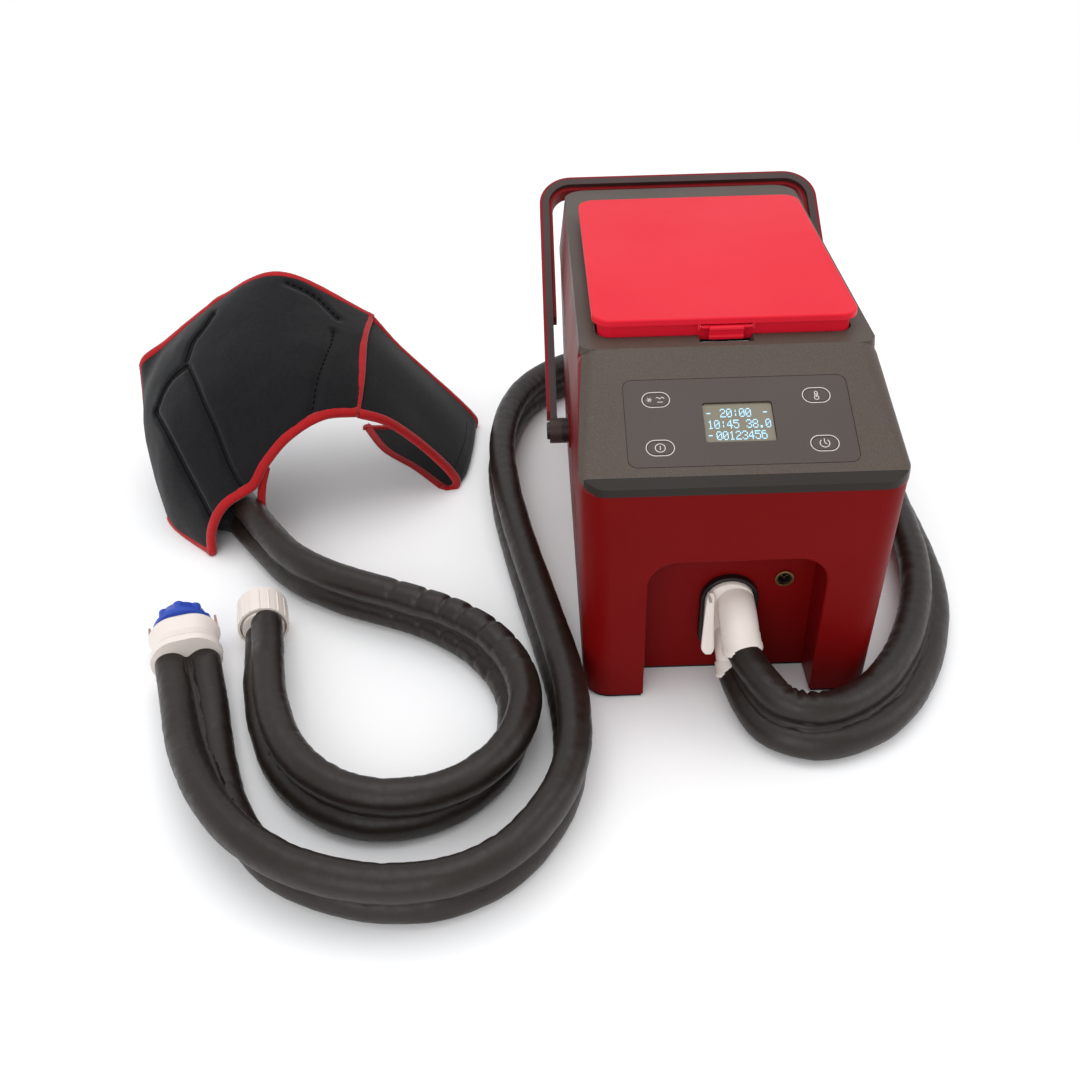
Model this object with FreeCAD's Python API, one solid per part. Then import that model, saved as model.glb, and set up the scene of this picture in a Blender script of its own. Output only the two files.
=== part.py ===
import FreeCAD, Part
import math
import os

V = FreeCAD.Vector

# ---------------------------------------------------------------------------
# Driving dimensions, mm.  Origin: centre of the machine's base on the floor,
# +Z up, -Y the control side, +X to the right of somebody facing the controls.
# ---------------------------------------------------------------------------
GAP = 0.3               # between curved faces of different pieces
RUN = 0.05              # radial running clearance of pins and shafts
PLAY = 0.1              # flat working gap

# housing
HALF_DEPTH = 197.4
HALF_W_FLOOR = 99.7
HALF_W_JOINT = 103.0
FRONT_SETBACK = 3.8     # front bottom edge behind the joint line
FOOT_H = 3.0
JOINT_Z = 174.7
CORNER_R = 18.0
WALL = 3.0
RIM_R = 1.4             # rounding of the recess edge

# front recess
ARCH_HALF_W = 58.5
ARCH_TOP = 120.8
ARCH_R = 20.0
ARCH_BACK_Y = -165.5

# top cover
COVER_PROUD = 0.4
LIP_H = 5.5
COVER_TOP = 223.4
COVER_TOP_HALF_W = 98.2
CREASE_Y = -96.5
COVER_T = 2.8
SHOULDER_R_FRONT = 6.0
SHOULDER_R_CREASE = 15.0
TOP_CORNER_R = 10.0

# lid
LID_HALF_W = 89.0
LID_Y0 = CREASE_Y + 13.5
LID_Y1 = 138.5
LID_R = 13.0
LID_RISE = 13.6         # lid top above the cover
LID_TOP = COVER_TOP + LID_RISE
LID_T = 4.4
SKIRT_INSET = 4.0
SKIRT_T = 2.2
POCKET_GAP = 1.3
POCKET_DEPTH = 7.9
POCKET_FLOOR = COVER_TOP - POCKET_DEPTH
FLANGE_T = 2.0
GASKET_T = 2.0
LINER_T = 17.0
LINER_INSET = 19.0

# lid hinge and latch
HINGE_Y = LID_Y1 + 4.5
HINGE_Z = LID_TOP - 8.0
HINGE_R = 5.0
HINGE_PIN_R = 2.0
LATCH_HALF_W = 17.0
LATCH_T = 2.8
LATCH_H = 8.4
LATCH_AXIS_Z = LID_TOP - 6.6
LATCH_Z0 = LATCH_AXIS_Z - LATCH_H
LATCH_PIN_R = 0.8
LUG_W = 2.0

# control panel, on the slope: x across, s up the slope, n outward
PANEL_HALF_W = 71.8
PANEL_S0 = 16.0
PANEL_S1 = 83.5
PANEL_R = 6.0
OVERLAY_T = 0.9
GROOVE = 0.45
WINDOW_HALF_W = 22.3
WINDOW_S0 = 33.5
WINDOW_S1 = 64.2
KEY_X = 51.3
KEY_S_LOW = 30.3
KEY_S_HIGH = 67.6
KEY_W = 16.0
KEY_H = 9.2
KEY_TRAVEL = 0.6
BOARD_N = -12.0
BOARD_T = 1.6

# handle
PIVOT_Y = 5.5
PIVOT_Z = 100.0
REST_TILT = -60.0       # from upright, leaning back
BAIL_SIDE_GAP = 8.5     # arm to the case's widest line
BAIL_ARM_T = 5.5
BAIL_BAR_T = 6.0
BAIL_REACH_GAP = 10.35  # bar to the case's rear top edge as it swings past
BAIL_IN_X = HALF_W_JOINT + BAIL_SIDE_GAP
BAIL_OUT_X = BAIL_IN_X + BAIL_ARM_T
BAIL_IN_R = math.hypot(HALF_DEPTH - PIVOT_Y, COVER_TOP - PIVOT_Z) + BAIL_REACH_GAP
BAIL_OUT_R = BAIL_IN_R + BAIL_BAR_T
BAIL_DEPTH = 14.0
BAIL_CORNER = 25.0
GRIP_T_OUT = 2.5
GRIP_T_IN = 3.0
GRIP_SETBACK = 4.0
GRIP_WEB = 2.0
GRIP_FROM = 105.0
HUB_R = 10.0
HUB_X0 = BAIL_IN_X - 3.5
HUB_X1 = BAIL_OUT_X + 0.6
PAD_X = HALF_W_JOINT - 0.2
PIVOT_R = 4.0

# socket, plug and power jack on the recess wall
SOCKET_X = 1.2
BEZEL_HALF_W = 20.0
BEZEL_Z0 = 25.0
BEZEL_Z1 = 86.4
BEZEL_FOOT_R = 11.0
BEZEL_WALL = 2.6
BEZEL_PROUD = 5.0
PLUG_FRONT_Y = -173.0
NIPPLE_R = 4.7
JACK_X = 38.0
JACK_Z = 82.2
JACK_R = 6.5

# twin hose: two lobes side by side in one sleeve
LOBE_D = 23.0
HOSE_W = 46.0
HOSE_Z = LOBE_D / 2 + 0.1

# tub
TUB_T = 2.5
TUB_FLOOR = 97.5
TUB_DRAFT = 6.0

# base
PLATE_T = 3.0
LEDGE_H = 2.0
COLUMN_R = 6.5
COLUMN_X = 90.0
COLUMN_TOP = 168.0

SLOPE = math.atan2(COVER_TOP - (JOINT_Z + LIP_H), CREASE_Y + HALF_DEPTH + COVER_PROUD)
SLOPE_Y0 = -HALF_DEPTH - COVER_PROUD
SLOPE_Z0 = JOINT_Z + LIP_H
SIDE_DRAFT = (HALF_W_JOINT + COVER_PROUD - COVER_TOP_HALF_W) / (COVER_TOP - SLOPE_Z0)


# ---------------------------------------------------------------------------
# general shapes
# ---------------------------------------------------------------------------
def rrect(x0, x1, y0, y1, r, z):
    """Closed rounded rectangle at height z."""
    k = r * (1 - math.sqrt(0.5))
    e = [
        Part.makeLine(V(x0 + r, y0, z), V(x1 - r, y0, z)),
        Part.Arc(V(x1 - r, y0, z), V(x1 - k, y0 + k, z), V(x1, y0 + r, z)).toShape(),
        Part.makeLine(V(x1, y0 + r, z), V(x1, y1 - r, z)),
        Part.Arc(V(x1, y1 - r, z), V(x1 - k, y1 - k, z), V(x1 - r, y1, z)).toShape(),
        Part.makeLine(V(x1 - r, y1, z), V(x0 + r, y1, z)),
        Part.Arc(V(x0 + r, y1, z), V(x0 + k, y1 - k, z), V(x0, y1 - r, z)).toShape(),
        Part.makeLine(V(x0, y1 - r, z), V(x0, y0 + r, z)),
        Part.Arc(V(x0, y0 + r, z), V(x0 + k, y0 + k, z), V(x0 + r, y0, z)).toShape(),
    ]
    return Part.Wire(e)


def prism(wire, vec):
    """Solid made by moving a closed flat wire along a vector."""
    return Part.Face(wire).extrude(vec)


def rblock(x0, x1, y0, y1, r, z0, z1):
    return prism(rrect(x0, x1, y0, y1, r, z0), V(0, 0, z1 - z0))


def box(x0, x1, y0, y1, z0, z1):
    return Part.makeBox(x1 - x0, y1 - y0, z1 - z0, V(x0, y0, z0))


def rod(p, q, r):
    """Round bar from p to q."""
    d = q.sub(p)
    return Part.makeCylinder(r, d.Length, p, d)


def polygon(points):
    return Part.makePolygon(points + [points[0]])


def both_sides(shape):
    """The shape and its mirror image across the middle plane, as one group."""
    return Part.makeCompound([shape, shape.mirror(V(0, 0, 0), V(1, 0, 0))])


def fuse(shapes):
    return shapes[0].fuse(shapes[1:]).removeSplitter()


def cut(shape, tools):
    return shape.cut(Part.makeCompound(tools))


def on_slope(shape):
    """Moves a shape drawn in (x, s, n) onto the sloping control face."""
    m = FreeCAD.Placement(V(0, SLOPE_Y0, SLOPE_Z0),
                          FreeCAD.Rotation(V(1, 0, 0), math.degrees(SLOPE)))
    moved = shape.copy()
    moved.Placement = m.multiply(moved.Placement)
    return moved


def tangent_path(points, label):
    """Straight runs joined by tangent arcs; prints each bend's radius."""
    runs = [points[i + 1].sub(points[i]) for i in range(len(points) - 1)]
    edges = []
    at = points[0]
    radii = []
    for i in range(1, len(points) - 1):
        a = V(runs[i - 1]).normalize()
        b = V(runs[i]).normalize()
        half = a.getAngle(b) / 2
        shorter = min(runs[i - 1].Length, runs[i].Length)
        radius = 0.45 * shorter / math.tan(half)
        reach = radius * math.tan(half)
        start = points[i].sub(V(a).multiply(reach))
        end = points[i].add(V(b).multiply(reach))
        inward = V(b).sub(a).normalize()
        centre = points[i].add(V(inward).multiply(radius / math.cos(half)))
        mid = centre.sub(V(inward).multiply(radius))
        edges.append(Part.makeLine(at, start))
        edges.append(Part.Arc(start, mid, end).toShape())
        at = end
        radii.append(round(radius, 1))
    edges.append(Part.makeLine(at, points[-1]))
    path = Part.Wire(edges)
    print(label, "length", round(path.Length, 1), "bend radii", radii)
    return path


# ---------------------------------------------------------------------------
# housing
# ---------------------------------------------------------------------------
def half_width(z):
    t = (z - FOOT_H) / (JOINT_Z - FOOT_H)
    return HALF_W_FLOOR + t * (HALF_W_JOINT - HALF_W_FLOOR)


def front_y(z):
    t = (z - FOOT_H) / (JOINT_Z - FOOT_H)
    return -HALF_DEPTH + FRONT_SETBACK * (1 - t)


def body_wire(inset, z):
    hw = half_width(z) - inset
    return rrect(-hw, hw, front_y(z) + inset, HALF_DEPTH - inset, CORNER_R - inset, z)


def body_block(inset, z0, z1):
    """The housing's drafted form moved inward by inset."""
    return Part.makeLoft([body_wire(inset, z0), body_wire(inset, z1)], True, True)


def arch_block(grow):
    """The front recess as a solid, enlarged by grow."""
    hw = ARCH_HALF_W + grow
    top = ARCH_TOP + grow
    r = ARCH_R + grow
    k = r * (1 - math.sqrt(0.5))
    y = -HALF_DEPTH - 12
    e = [
        Part.makeLine(V(-hw, y, -5), V(hw, y, -5)),
        Part.makeLine(V(hw, y, -5), V(hw, y, top - r)),
        Part.Arc(V(hw, y, top - r), V(hw - k, y, top - k), V(hw - r, y, top)).toShape(),
        Part.makeLine(V(hw - r, y, top), V(-hw + r, y, top)),
        Part.Arc(V(-hw + r, y, top), V(-hw + k, y, top - k), V(-hw, y, top - r)).toShape(),
        Part.makeLine(V(-hw, y, top - r), V(-hw, y, -5)),
    ]
    return prism(Part.Wire(e), V(0, ARCH_BACK_Y + grow - y, 0))


def column_spots():
    return [(sx * COLUMN_X, y) for sx in (-1, 1) for y in (-135.0, 45.0, 172.0)]


def base_screw_spots():
    return [(sx * 89.0, y) for sx in (-1, 1) for y in (-100.0, -30.0, 110.0)]


def tombstone(half_w, z0, z1, foot_r, y0, y1):
    """Upright block with a half-round top and rounded bottom corners."""
    c = SOCKET_X
    s = math.sqrt(0.5)
    k = foot_r * (1 - s)
    zc = z1 - half_w
    e = [
        Part.makeLine(V(c - half_w + foot_r, y0, z0), V(c + half_w - foot_r, y0, z0)),
        Part.Arc(V(c + half_w - foot_r, y0, z0), V(c + half_w - k, y0, z0 + k),
                 V(c + half_w, y0, z0 + foot_r)).toShape(),
        Part.makeLine(V(c + half_w, y0, z0 + foot_r), V(c + half_w, y0, zc)),
        Part.Arc(V(c + half_w, y0, zc), V(c, y0, z1), V(c - half_w, y0, zc)).toShape(),
        Part.makeLine(V(c - half_w, y0, zc), V(c - half_w, y0, z0 + foot_r)),
        Part.Arc(V(c - half_w, y0, z0 + foot_r), V(c - half_w + k, y0, z0 + k),
                 V(c - half_w + foot_r, y0, z0)).toShape(),
    ]
    return prism(Part.Wire(e), V(0, y1 - y0, 0))


def bezel_inner(shrink, y0, y1):
    w = BEZEL_WALL + shrink
    return tombstone(BEZEL_HALF_W - w, BEZEL_Z0 + w, BEZEL_Z1 - w, BEZEL_FOOT_R - w, y0, y1)


def housing():
    outer = body_block(0, FOOT_H, JOINT_Z)
    cavity = body_block(WALL, FOOT_H - 1, JOINT_Z + 1).cut(arch_block(WALL))
    shell = outer.cut(cavity)
    z0 = FOOT_H + PLATE_T
    ledge = body_block(WALL - 0.5, z0, z0 + LEDGE_H)
    ledge = cut(ledge, [body_block(WALL + 4, z0 - 1, z0 + LEDGE_H + 1), arch_block(WALL)])
    inside = []
    for x, y in column_spots():
        reach = 105.0 if x > 0 else -105.0
        inside.append(rod(V(x, y, z0), V(x, y, COLUMN_TOP), COLUMN_R))
        inside.append(box(min(x, reach), max(x, reach), y - 1.5, y + 1.5, z0, COLUMN_TOP))
    for x, y in base_screw_spots():
        reach = 105.0 if x > 0 else -105.0
        inside.append(rod(V(x, y, z0), V(x, y, z0 + 14), 4.5))
        inside.append(box(min(x, reach), max(x, reach), y - 4.5, y + 4.5, z0, z0 + 14))
    for sx in (-1, 1):
        inside.append(rod(V(sx * 94, PIVOT_Y, PIVOT_Z), V(sx * 101, PIVOT_Y, PIVOT_Z), HUB_R))
    inside = Part.makeCompound(inside).common(body_block(0.5, z0, JOINT_Z))
    pads = [rod(V(sx * 98, PIVOT_Y, PIVOT_Z), V(sx * PAD_X, PIVOT_Y, PIVOT_Z), HUB_R + 4)
            for sx in (-1, 1)]
    solid = fuse([shell, ledge] + inside.Solids + pads)
    rim = [e for e in arch_block(0).common(body_block(0, FOOT_H, JOINT_Z)).Edges]
    tools = [arch_block(0)]
    for x, y in column_spots():
        tools.append(rod(V(x, y, 0), V(x, y, 150), 4.0))
        tools.append(rod(V(x, y, 140), V(x, y, COLUMN_TOP + 1), 2.3))
    for x, y in base_screw_spots():
        tools.append(rod(V(x, y, 0), V(x, y, z0 + 12), 1.75 + RUN))
    for sx in (-1, 1):
        tools.append(rod(V(sx * 80, PIVOT_Y, PIVOT_Z), V(sx * 110, PIVOT_Y, PIVOT_Z),
                         PIVOT_R + RUN))
    tools.append(bezel_inner(-GAP, ARCH_BACK_Y - 1, ARCH_BACK_Y + WALL + 1))
    tools.append(rod(V(JACK_X, ARCH_BACK_Y - 1, JACK_Z), V(JACK_X, ARCH_BACK_Y + 5, JACK_Z),
                     JACK_R - 0.5))
    solid = cut(solid, tools)
    front = []
    for e in solid.Edges:
        pts = [v.Point for v in e.Vertexes] + [e.CenterOfMass]
        on_arch = all(abs(p.x) < ARCH_HALF_W + 0.5 and p.z < ARCH_TOP + 0.5 for p in pts)
        if on_arch and all(abs(p.y - front_y(p.z)) < 0.05 for p in pts):
            front.append(e)
    return solid.makeFillet(RIM_R, front)


def base_plate():
    z0 = FOOT_H
    z1 = FOOT_H + PLATE_T
    plate = body_block(WALL + GAP, z0, z1).cut(arch_block(WALL + GAP))
    tools = []
    for x, y in column_spots():
        tools.append(rod(V(x, y, 0), V(x, y, 10), 4.0))
    for x, y in base_screw_spots():
        tools.append(rod(V(x, y, 0), V(x, y, 10), 1.75 + RUN))
        tools.append(rod(V(x, y, 0), V(x, y, z0 + 1.6), 3.6))
    for i in range(6):
        y = 60.0 + 12 * i
        tools.append(rblock(-20, 20, y, y + 4, 1.9, 0, 10))
    return cut(plate, tools)


def base_screws():
    screws = []
    for x, y in base_screw_spots():
        z = FOOT_H + 1.6
        head = rod(V(x, y, z - 1.4), V(x, y, z), 3.3)
        screws.append(head.fuse(rod(V(x, y, z), V(x, y, z + 11), 1.75)))
    return Part.makeCompound(screws)


def case_screws():
    screws = []
    for x, y in column_spots():
        head = rod(V(x, y, 147), V(x, y, 150), 3.6)
        screws.append(head.fuse(rod(V(x, y, 150), V(x, y, 178), 2.0)))
    return Part.makeCompound(screws)


def foot_ring():
    """One rubber foot that follows the bottom rim and the recess."""
    outer = rblock_footprint(1.5).cut(box_arch(1.5))
    inner = rblock_footprint(10.5).cut(box_arch(10.5))
    return outer.cut(inner)


def rblock_footprint(inset):
    return prism(body_wire(inset, FOOT_H), V(0, 0, -FOOT_H))


def box_arch(grow):
    hw = ARCH_HALF_W + grow
    return box(-hw, hw, -HALF_DEPTH - 10, ARCH_BACK_Y + grow, -1, FOOT_H + 1)


# ---------------------------------------------------------------------------
# top cover
# ---------------------------------------------------------------------------
def cover_side(z):
    return HALF_W_JOINT + COVER_PROUD - SIDE_DRAFT * max(0.0, z - SLOPE_Z0)


def slope_line(y, d):
    """Height of the sloping face, moved inward by d, at y."""
    return SLOPE_Z0 + (y - SLOPE_Y0) * math.tan(SLOPE) - d / math.cos(SLOPE)


def crease_at(d):
    return SLOPE_Y0 + (COVER_TOP - d - SLOPE_Z0 + d / math.cos(SLOPE)) / math.tan(SLOPE)


def cover_block(d, z0):
    hd = HALF_DEPTH + COVER_PROUD - d
    r = CORNER_R + COVER_PROUD - d
    wires = []
    for z in (z0, SLOPE_Z0, COVER_TOP - d):
        hw = cover_side(z) - d
        wires.append(rrect(-hw, hw, -hd, hd, r, z))
    return Part.makeLoft(wires, True, True)


def cover_profile(d, z0):
    hd = HALF_DEPTH + COVER_PROUD - d
    pts = [(-hd, z0), (-hd, slope_line(-hd, d)), (crease_at(d), COVER_TOP - d),
           (hd, COVER_TOP - d), (hd, z0)]
    return prism(polygon([V(-130, y, z) for y, z in pts]), V(260, 0, 0))


def shoulder_wire(y, r, d):
    """Cross-section of the sloping part: rounded shoulders, drafted sides."""
    top = slope_line(y, d)
    a = math.atan(SIDE_DRAFT)
    side = cover_side(top) - d + 0.3
    xc = side + SIDE_DRAFT * r - r / math.cos(a)
    zc = top - r
    m = (a + math.pi / 2) / 2
    p1 = V(xc, y, top)
    p2 = V(xc + r * math.cos(m), y, zc + r * math.sin(m))
    p3 = V(xc + r * math.cos(a), y, zc + r * math.sin(a))
    low = 120.0
    p4 = V(p3.x + (p3.z - low) * math.tan(a), y, low)
    left = [V(-p.x, p.y, p.z) for p in (p1, p2, p3, p4)]
    e = [
        Part.Arc(p1, p2, p3).toShape(),
        Part.makeLine(p3, p4),
        Part.makeLine(p4, left[3]),
        Part.makeLine(left[3], left[2]),
        Part.Arc(left[2], left[1], left[0]).toShape(),
        Part.makeLine(left[0], p1),
    ]
    return Part.Wire(e)


def cover_form(d, z0):
    """The cover's outer form moved inward by d, open down to z0."""
    crease = crease_at(d)
    slope_part = Part.makeLoft([shoulder_wire(SLOPE_Y0 - 0.5, SHOULDER_R_FRONT, d),
                                shoulder_wire(crease, SHOULDER_R_CREASE, d)], True, True)
    hw0 = cover_side(SLOPE_Z0) - d + 0.3 + SIDE_DRAFT * (SLOPE_Z0 - 120)
    hw1 = COVER_TOP_HALF_W - d + 0.3 - SIDE_DRAFT * (1 - d)
    y1 = HALF_DEPTH + 5
    rear = Part.makeLoft([rrect(-hw0, hw0, crease, y1, TOP_CORNER_R, 120.0),
                          rrect(-hw1, hw1, crease, y1, TOP_CORNER_R, COVER_TOP + 1 - d)],
                         True, True)
    behind = prism(shoulder_wire(crease, SHOULDER_R_CREASE, d), V(0, TOP_CORNER_R + 2, 0))
    keep = slope_part.fuse([rear, behind])
    return cover_block(d, z0).common(cover_profile(d, z0)).common(keep)


def pill(cx, cs, w, h, n0, n1):
    return rblock(cx - w / 2, cx + w / 2, cs - h / 2, cs + h / 2, h / 2 - 0.01, n0, n1)


def key_spots():
    return {"key_mode": (-KEY_X, KEY_S_HIGH), "key_power": (-KEY_X, KEY_S_LOW),
            "key_temperature": (KEY_X, KEY_S_HIGH), "key_timer": (KEY_X, KEY_S_LOW)}


def panel_block(grow, n0, n1):
    return rblock(-PANEL_HALF_W - grow, PANEL_HALF_W + grow, PANEL_S0 - grow,
                  PANEL_S1 + grow, PANEL_R + grow, n0, n1)


def window_block(shrink, n0, n1):
    return rblock(-WINDOW_HALF_W + shrink, WINDOW_HALF_W - shrink, WINDOW_S0 + shrink,
                  WINDOW_S1 - shrink, 2.0, n0, n1)


def pocket(grow, z0, z1):
    """Block around the lid's skirt, grown outward by grow."""
    g = POCKET_GAP - SKIRT_INSET + grow
    return rblock(-LID_HALF_W - g, LID_HALF_W + g, LID_Y0 - g, LID_Y1 + g,
                  LID_R + g, z0, z1)


def post_spots():
    return [(sx * 63.0, s) for sx in (-1, 1) for s in (19.0, 81.0)]


def top_cover():
    shell = cover_form(0, JOINT_Z).cut(cover_form(COVER_T, JOINT_Z - 1))
    add = [pocket(COVER_T, POCKET_FLOOR - COVER_T, COVER_TOP - 1)]
    notch_y = LID_Y0 - 8.0
    add.append(box(-20.5, 20.5, notch_y - 2.0, LID_Y0 + 6, 214.5, COVER_TOP - 1))
    columns = [rod(V(x, y, COLUMN_TOP), V(x, y, COVER_TOP), 4.5) for x, y in column_spots()]
    add += Part.makeCompound(columns).common(cover_form(COVER_T / 2, COLUMN_TOP - 1)).Solids
    for x, s in post_spots():
        add.append(on_slope(rod(V(x, s, BOARD_N), V(x, s, -COVER_T / 2), 3.0)))
    for x0, x1 in ((-60.0, -45.0), (-10.0, 10.0), (45.0, 60.0)):
        add.append(rod(V(x0, HINGE_Y, HINGE_Z), V(x1, HINGE_Y, HINGE_Z), HINGE_R))
        add.append(box(x0, x1, HINGE_Y - HINGE_R, HINGE_Y + HINGE_R, COVER_TOP - 1, HINGE_Z))
    lip = body_block(WALL + GAP, JOINT_Z - 4, JOINT_Z + 3)
    lip = lip.cut(body_block(WALL + GAP + 2, JOINT_Z - 5, JOINT_Z + 4))
    web = body_block(0.6, JOINT_Z, JOINT_Z + 3).cut(body_block(WALL + 2.3, JOINT_Z - 5,
                                                               JOINT_Z + 4))
    solid = fuse([shell, lip, web] + add)
    tools = [pocket(0, POCKET_FLOOR, COVER_TOP + 5)]
    tools.append(rblock(-77, 77, -71, 126.5, 8.0, 200, COVER_TOP))
    tools.append(prism(polygon([V(-18.5, notch_y, COVER_TOP + 1), V(18.5, notch_y, COVER_TOP + 1),
                                V(16.0, notch_y, 217), V(-16.0, notch_y, 217)]),
                       V(0, 14.0, 0)))
    tools.append(on_slope(panel_block(GROOVE, -OVERLAY_T, 3)))
    tools.append(on_slope(window_block(0, -8, 3)))
    for x, s in key_spots().values():
        tools.append(on_slope(pill(x, s, KEY_W + 2 * GAP, KEY_H + 2 * GAP, -8, 3)))
    for x, s in post_spots():
        tools.append(on_slope(rod(V(x, s, BOARD_N - 1), V(x, s, BOARD_N + 7), 1.25 + RUN)))
    for x, y in column_spots():
        tools.append(rod(V(x, y, COLUMN_TOP - 1), V(x, y, 179), 2.0 + RUN))
    tools.append(rod(V(-70, HINGE_Y, HINGE_Z), V(70, HINGE_Y, HINGE_Z), HINGE_PIN_R + RUN))
    return cut(solid, tools)


def control_overlay():
    plate = panel_block(0, -OVERLAY_T, 0)
    tools = [window_block(0, -2, 1)]
    for x, s in key_spots().values():
        tools.append(pill(x, s, KEY_W + 2 * GAP, KEY_H + 2 * GAP, -2, 1))
    return on_slope(cut(plate, tools))


def key(x, s):
    """Pill-shaped key cap with a retaining flange and a stem."""
    flange_n = -COVER_T - PLAY
    cap = pill(x, s, KEY_W, KEY_H, flange_n, 0)
    flange = pill(x, s, KEY_W + 2.4, KEY_H + 2.4, flange_n - 1, flange_n)
    stem = rod(V(x, s, BOARD_N + 3.9 + KEY_TRAVEL), V(x, s, flange_n - 1), 2.0)
    return on_slope(fuse([cap, flange, stem]))


def tact_switches():
    group = []
    for x, s in key_spots().values():
        body = box(x - 3, x + 3, s - 3, s + 3, BOARD_N, BOARD_N + 3.4)
        tip = rod(V(x, s, BOARD_N + 3.4), V(x, s, BOARD_N + 3.8), 1.6)
        group.append(on_slope(body.fuse(tip)))
    return Part.makeCompound(group)


def display_window():
    return on_slope(window_block(GAP, -COVER_T, -COVER_T + 1.4))


def display_module():
    frame = rblock(-31, 31, WINDOW_S0 - 7, WINDOW_S1 + 7, 1.0, BOARD_N, -COVER_T)
    return on_slope(frame)


def control_board():
    board = rblock(-70, 70, 12, 88, 2.0, BOARD_N - BOARD_T, BOARD_N)
    tools = [rod(V(x, s, BOARD_N - 3), V(x, s, BOARD_N + 1), 1.25 + RUN)
             for x, s in post_spots()]
    chip = box(-20, -6, 40, 54, BOARD_N - BOARD_T - 1.5, BOARD_N - BOARD_T)
    plug = box(20, 44, 22, 30, BOARD_N - BOARD_T - 6, BOARD_N - BOARD_T)
    return on_slope(fuse([cut(board, tools), chip, plug]))


def board_screws():
    group = []
    n = BOARD_N - BOARD_T
    for x, s in post_spots():
        head = rod(V(x, s, n - 1.6), V(x, s, n), 2.4)
        group.append(on_slope(head.fuse(rod(V(x, s, n), V(x, s, n + 7), 1.25))))
    return Part.makeCompound(group)


# ---------------------------------------------------------------------------
# ice tub and lid
# ---------------------------------------------------------------------------
def tub_wire(inset, z):
    t = (POCKET_FLOOR - z) / (POCKET_FLOOR - TUB_FLOOR)
    i = inset + TUB_DRAFT * t
    return rrect(-76.7 + i, 76.7 - i, -70.7 + i, 126.2 - i, 8.0, z)


def ice_tub():
    outer = Part.makeLoft([tub_wire(0, TUB_FLOOR), tub_wire(0, POCKET_FLOOR)], True, True)
    flange = pocket(-2.0, POCKET_FLOOR, POCKET_FLOOR + FLANGE_T)
    inner = Part.makeLoft([tub_wire(TUB_T, TUB_FLOOR + TUB_T),
                           tub_wire(TUB_T, POCKET_FLOOR + FLANGE_T + 1)], True, True)
    add = [rod(V(30, -10, TUB_FLOOR - 8), V(30, -10, TUB_FLOOR + 1), 5.0),
           rod(V(-45, -82, 150), V(-45, -66, 150), 5.0)]
    tools = [rod(V(30, -10, TUB_FLOOR - 9), V(30, -10, TUB_FLOOR + 5), 3.0),
             rod(V(-45, -83, 150), V(-45, -60, 150), 3.0)]
    solid = fuse([outer, flange] + add)
    return cut(solid, [inner] + tools)


def tub_gasket():
    z0 = POCKET_FLOOR + FLANGE_T
    return pocket(-2.0, z0, z0 + GASKET_T).cut(pocket(-5.5, z0 - 1, z0 + GASKET_T + 1))


def skirt_block(grow, z0, z1):
    g = grow - SKIRT_INSET
    return rblock(-LID_HALF_W - g, LID_HALF_W + g, LID_Y0 - g, LID_Y1 + g, LID_R + g, z0, z1)


def lid():
    under = LID_TOP - LID_T
    plate = rblock(-LID_HALF_W, LID_HALF_W, LID_Y0, LID_Y1, LID_R, under, LID_TOP)
    rims = [e for e in plate.Edges if abs(e.CenterOfMass.z - LID_TOP) < 0.01]
    plate = plate.makeFillet(1.2, rims)
    z0 = POCKET_FLOOR + FLANGE_T + GASKET_T + PLAY
    skirt = skirt_block(0, z0, under).cut(skirt_block(-SKIRT_T, z0 - 1, under + 1))
    add = []
    for x0, x1 in ((-44.6, -24.0), (24.0, 44.6)):
        add.append(rod(V(x0, HINGE_Y, HINGE_Z), V(x1, HINGE_Y, HINGE_Z), HINGE_R - 0.2))
        add.append(box(x0, x1, LID_Y1 - SKIRT_INSET - 1, HINGE_Y, HINGE_Z - 2, under))
    for sx in (-1, 1):
        xa = sx * (LATCH_HALF_W + GAP)
        xb = sx * (LATCH_HALF_W + GAP + LUG_W)
        add.append(box(min(xa, xb), max(xa, xb), LID_Y0, LID_Y0 + SKIRT_INSET + 1,
                       LATCH_AXIS_Z - 1.8, under))
    solid = fuse([plate, skirt] + add)
    y = LID_Y0 + LATCH_T / 2
    tools = [rod(V(-70, HINGE_Y, HINGE_Z), V(70, HINGE_Y, HINGE_Z), HINGE_PIN_R + RUN),
             rod(V(-25, y, LATCH_AXIS_Z), V(25, y, LATCH_AXIS_Z), LATCH_PIN_R + RUN)]
    return cut(solid, tools)


def lid_liner():
    """Insulated inner panel that hangs into the tub's mouth."""
    under = LID_TOP - LID_T
    half = LID_HALF_W - LINER_INSET
    return rblock(-half, half, LID_Y0 + LINER_INSET, LID_Y1 - LINER_INSET - 1.5, 6.0,
                  under - LINER_T, under)


def lid_hinge_pin():
    return rod(V(-60.0, HINGE_Y, HINGE_Z), V(60.0, HINGE_Y, HINGE_Z), HINGE_PIN_R)


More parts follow.
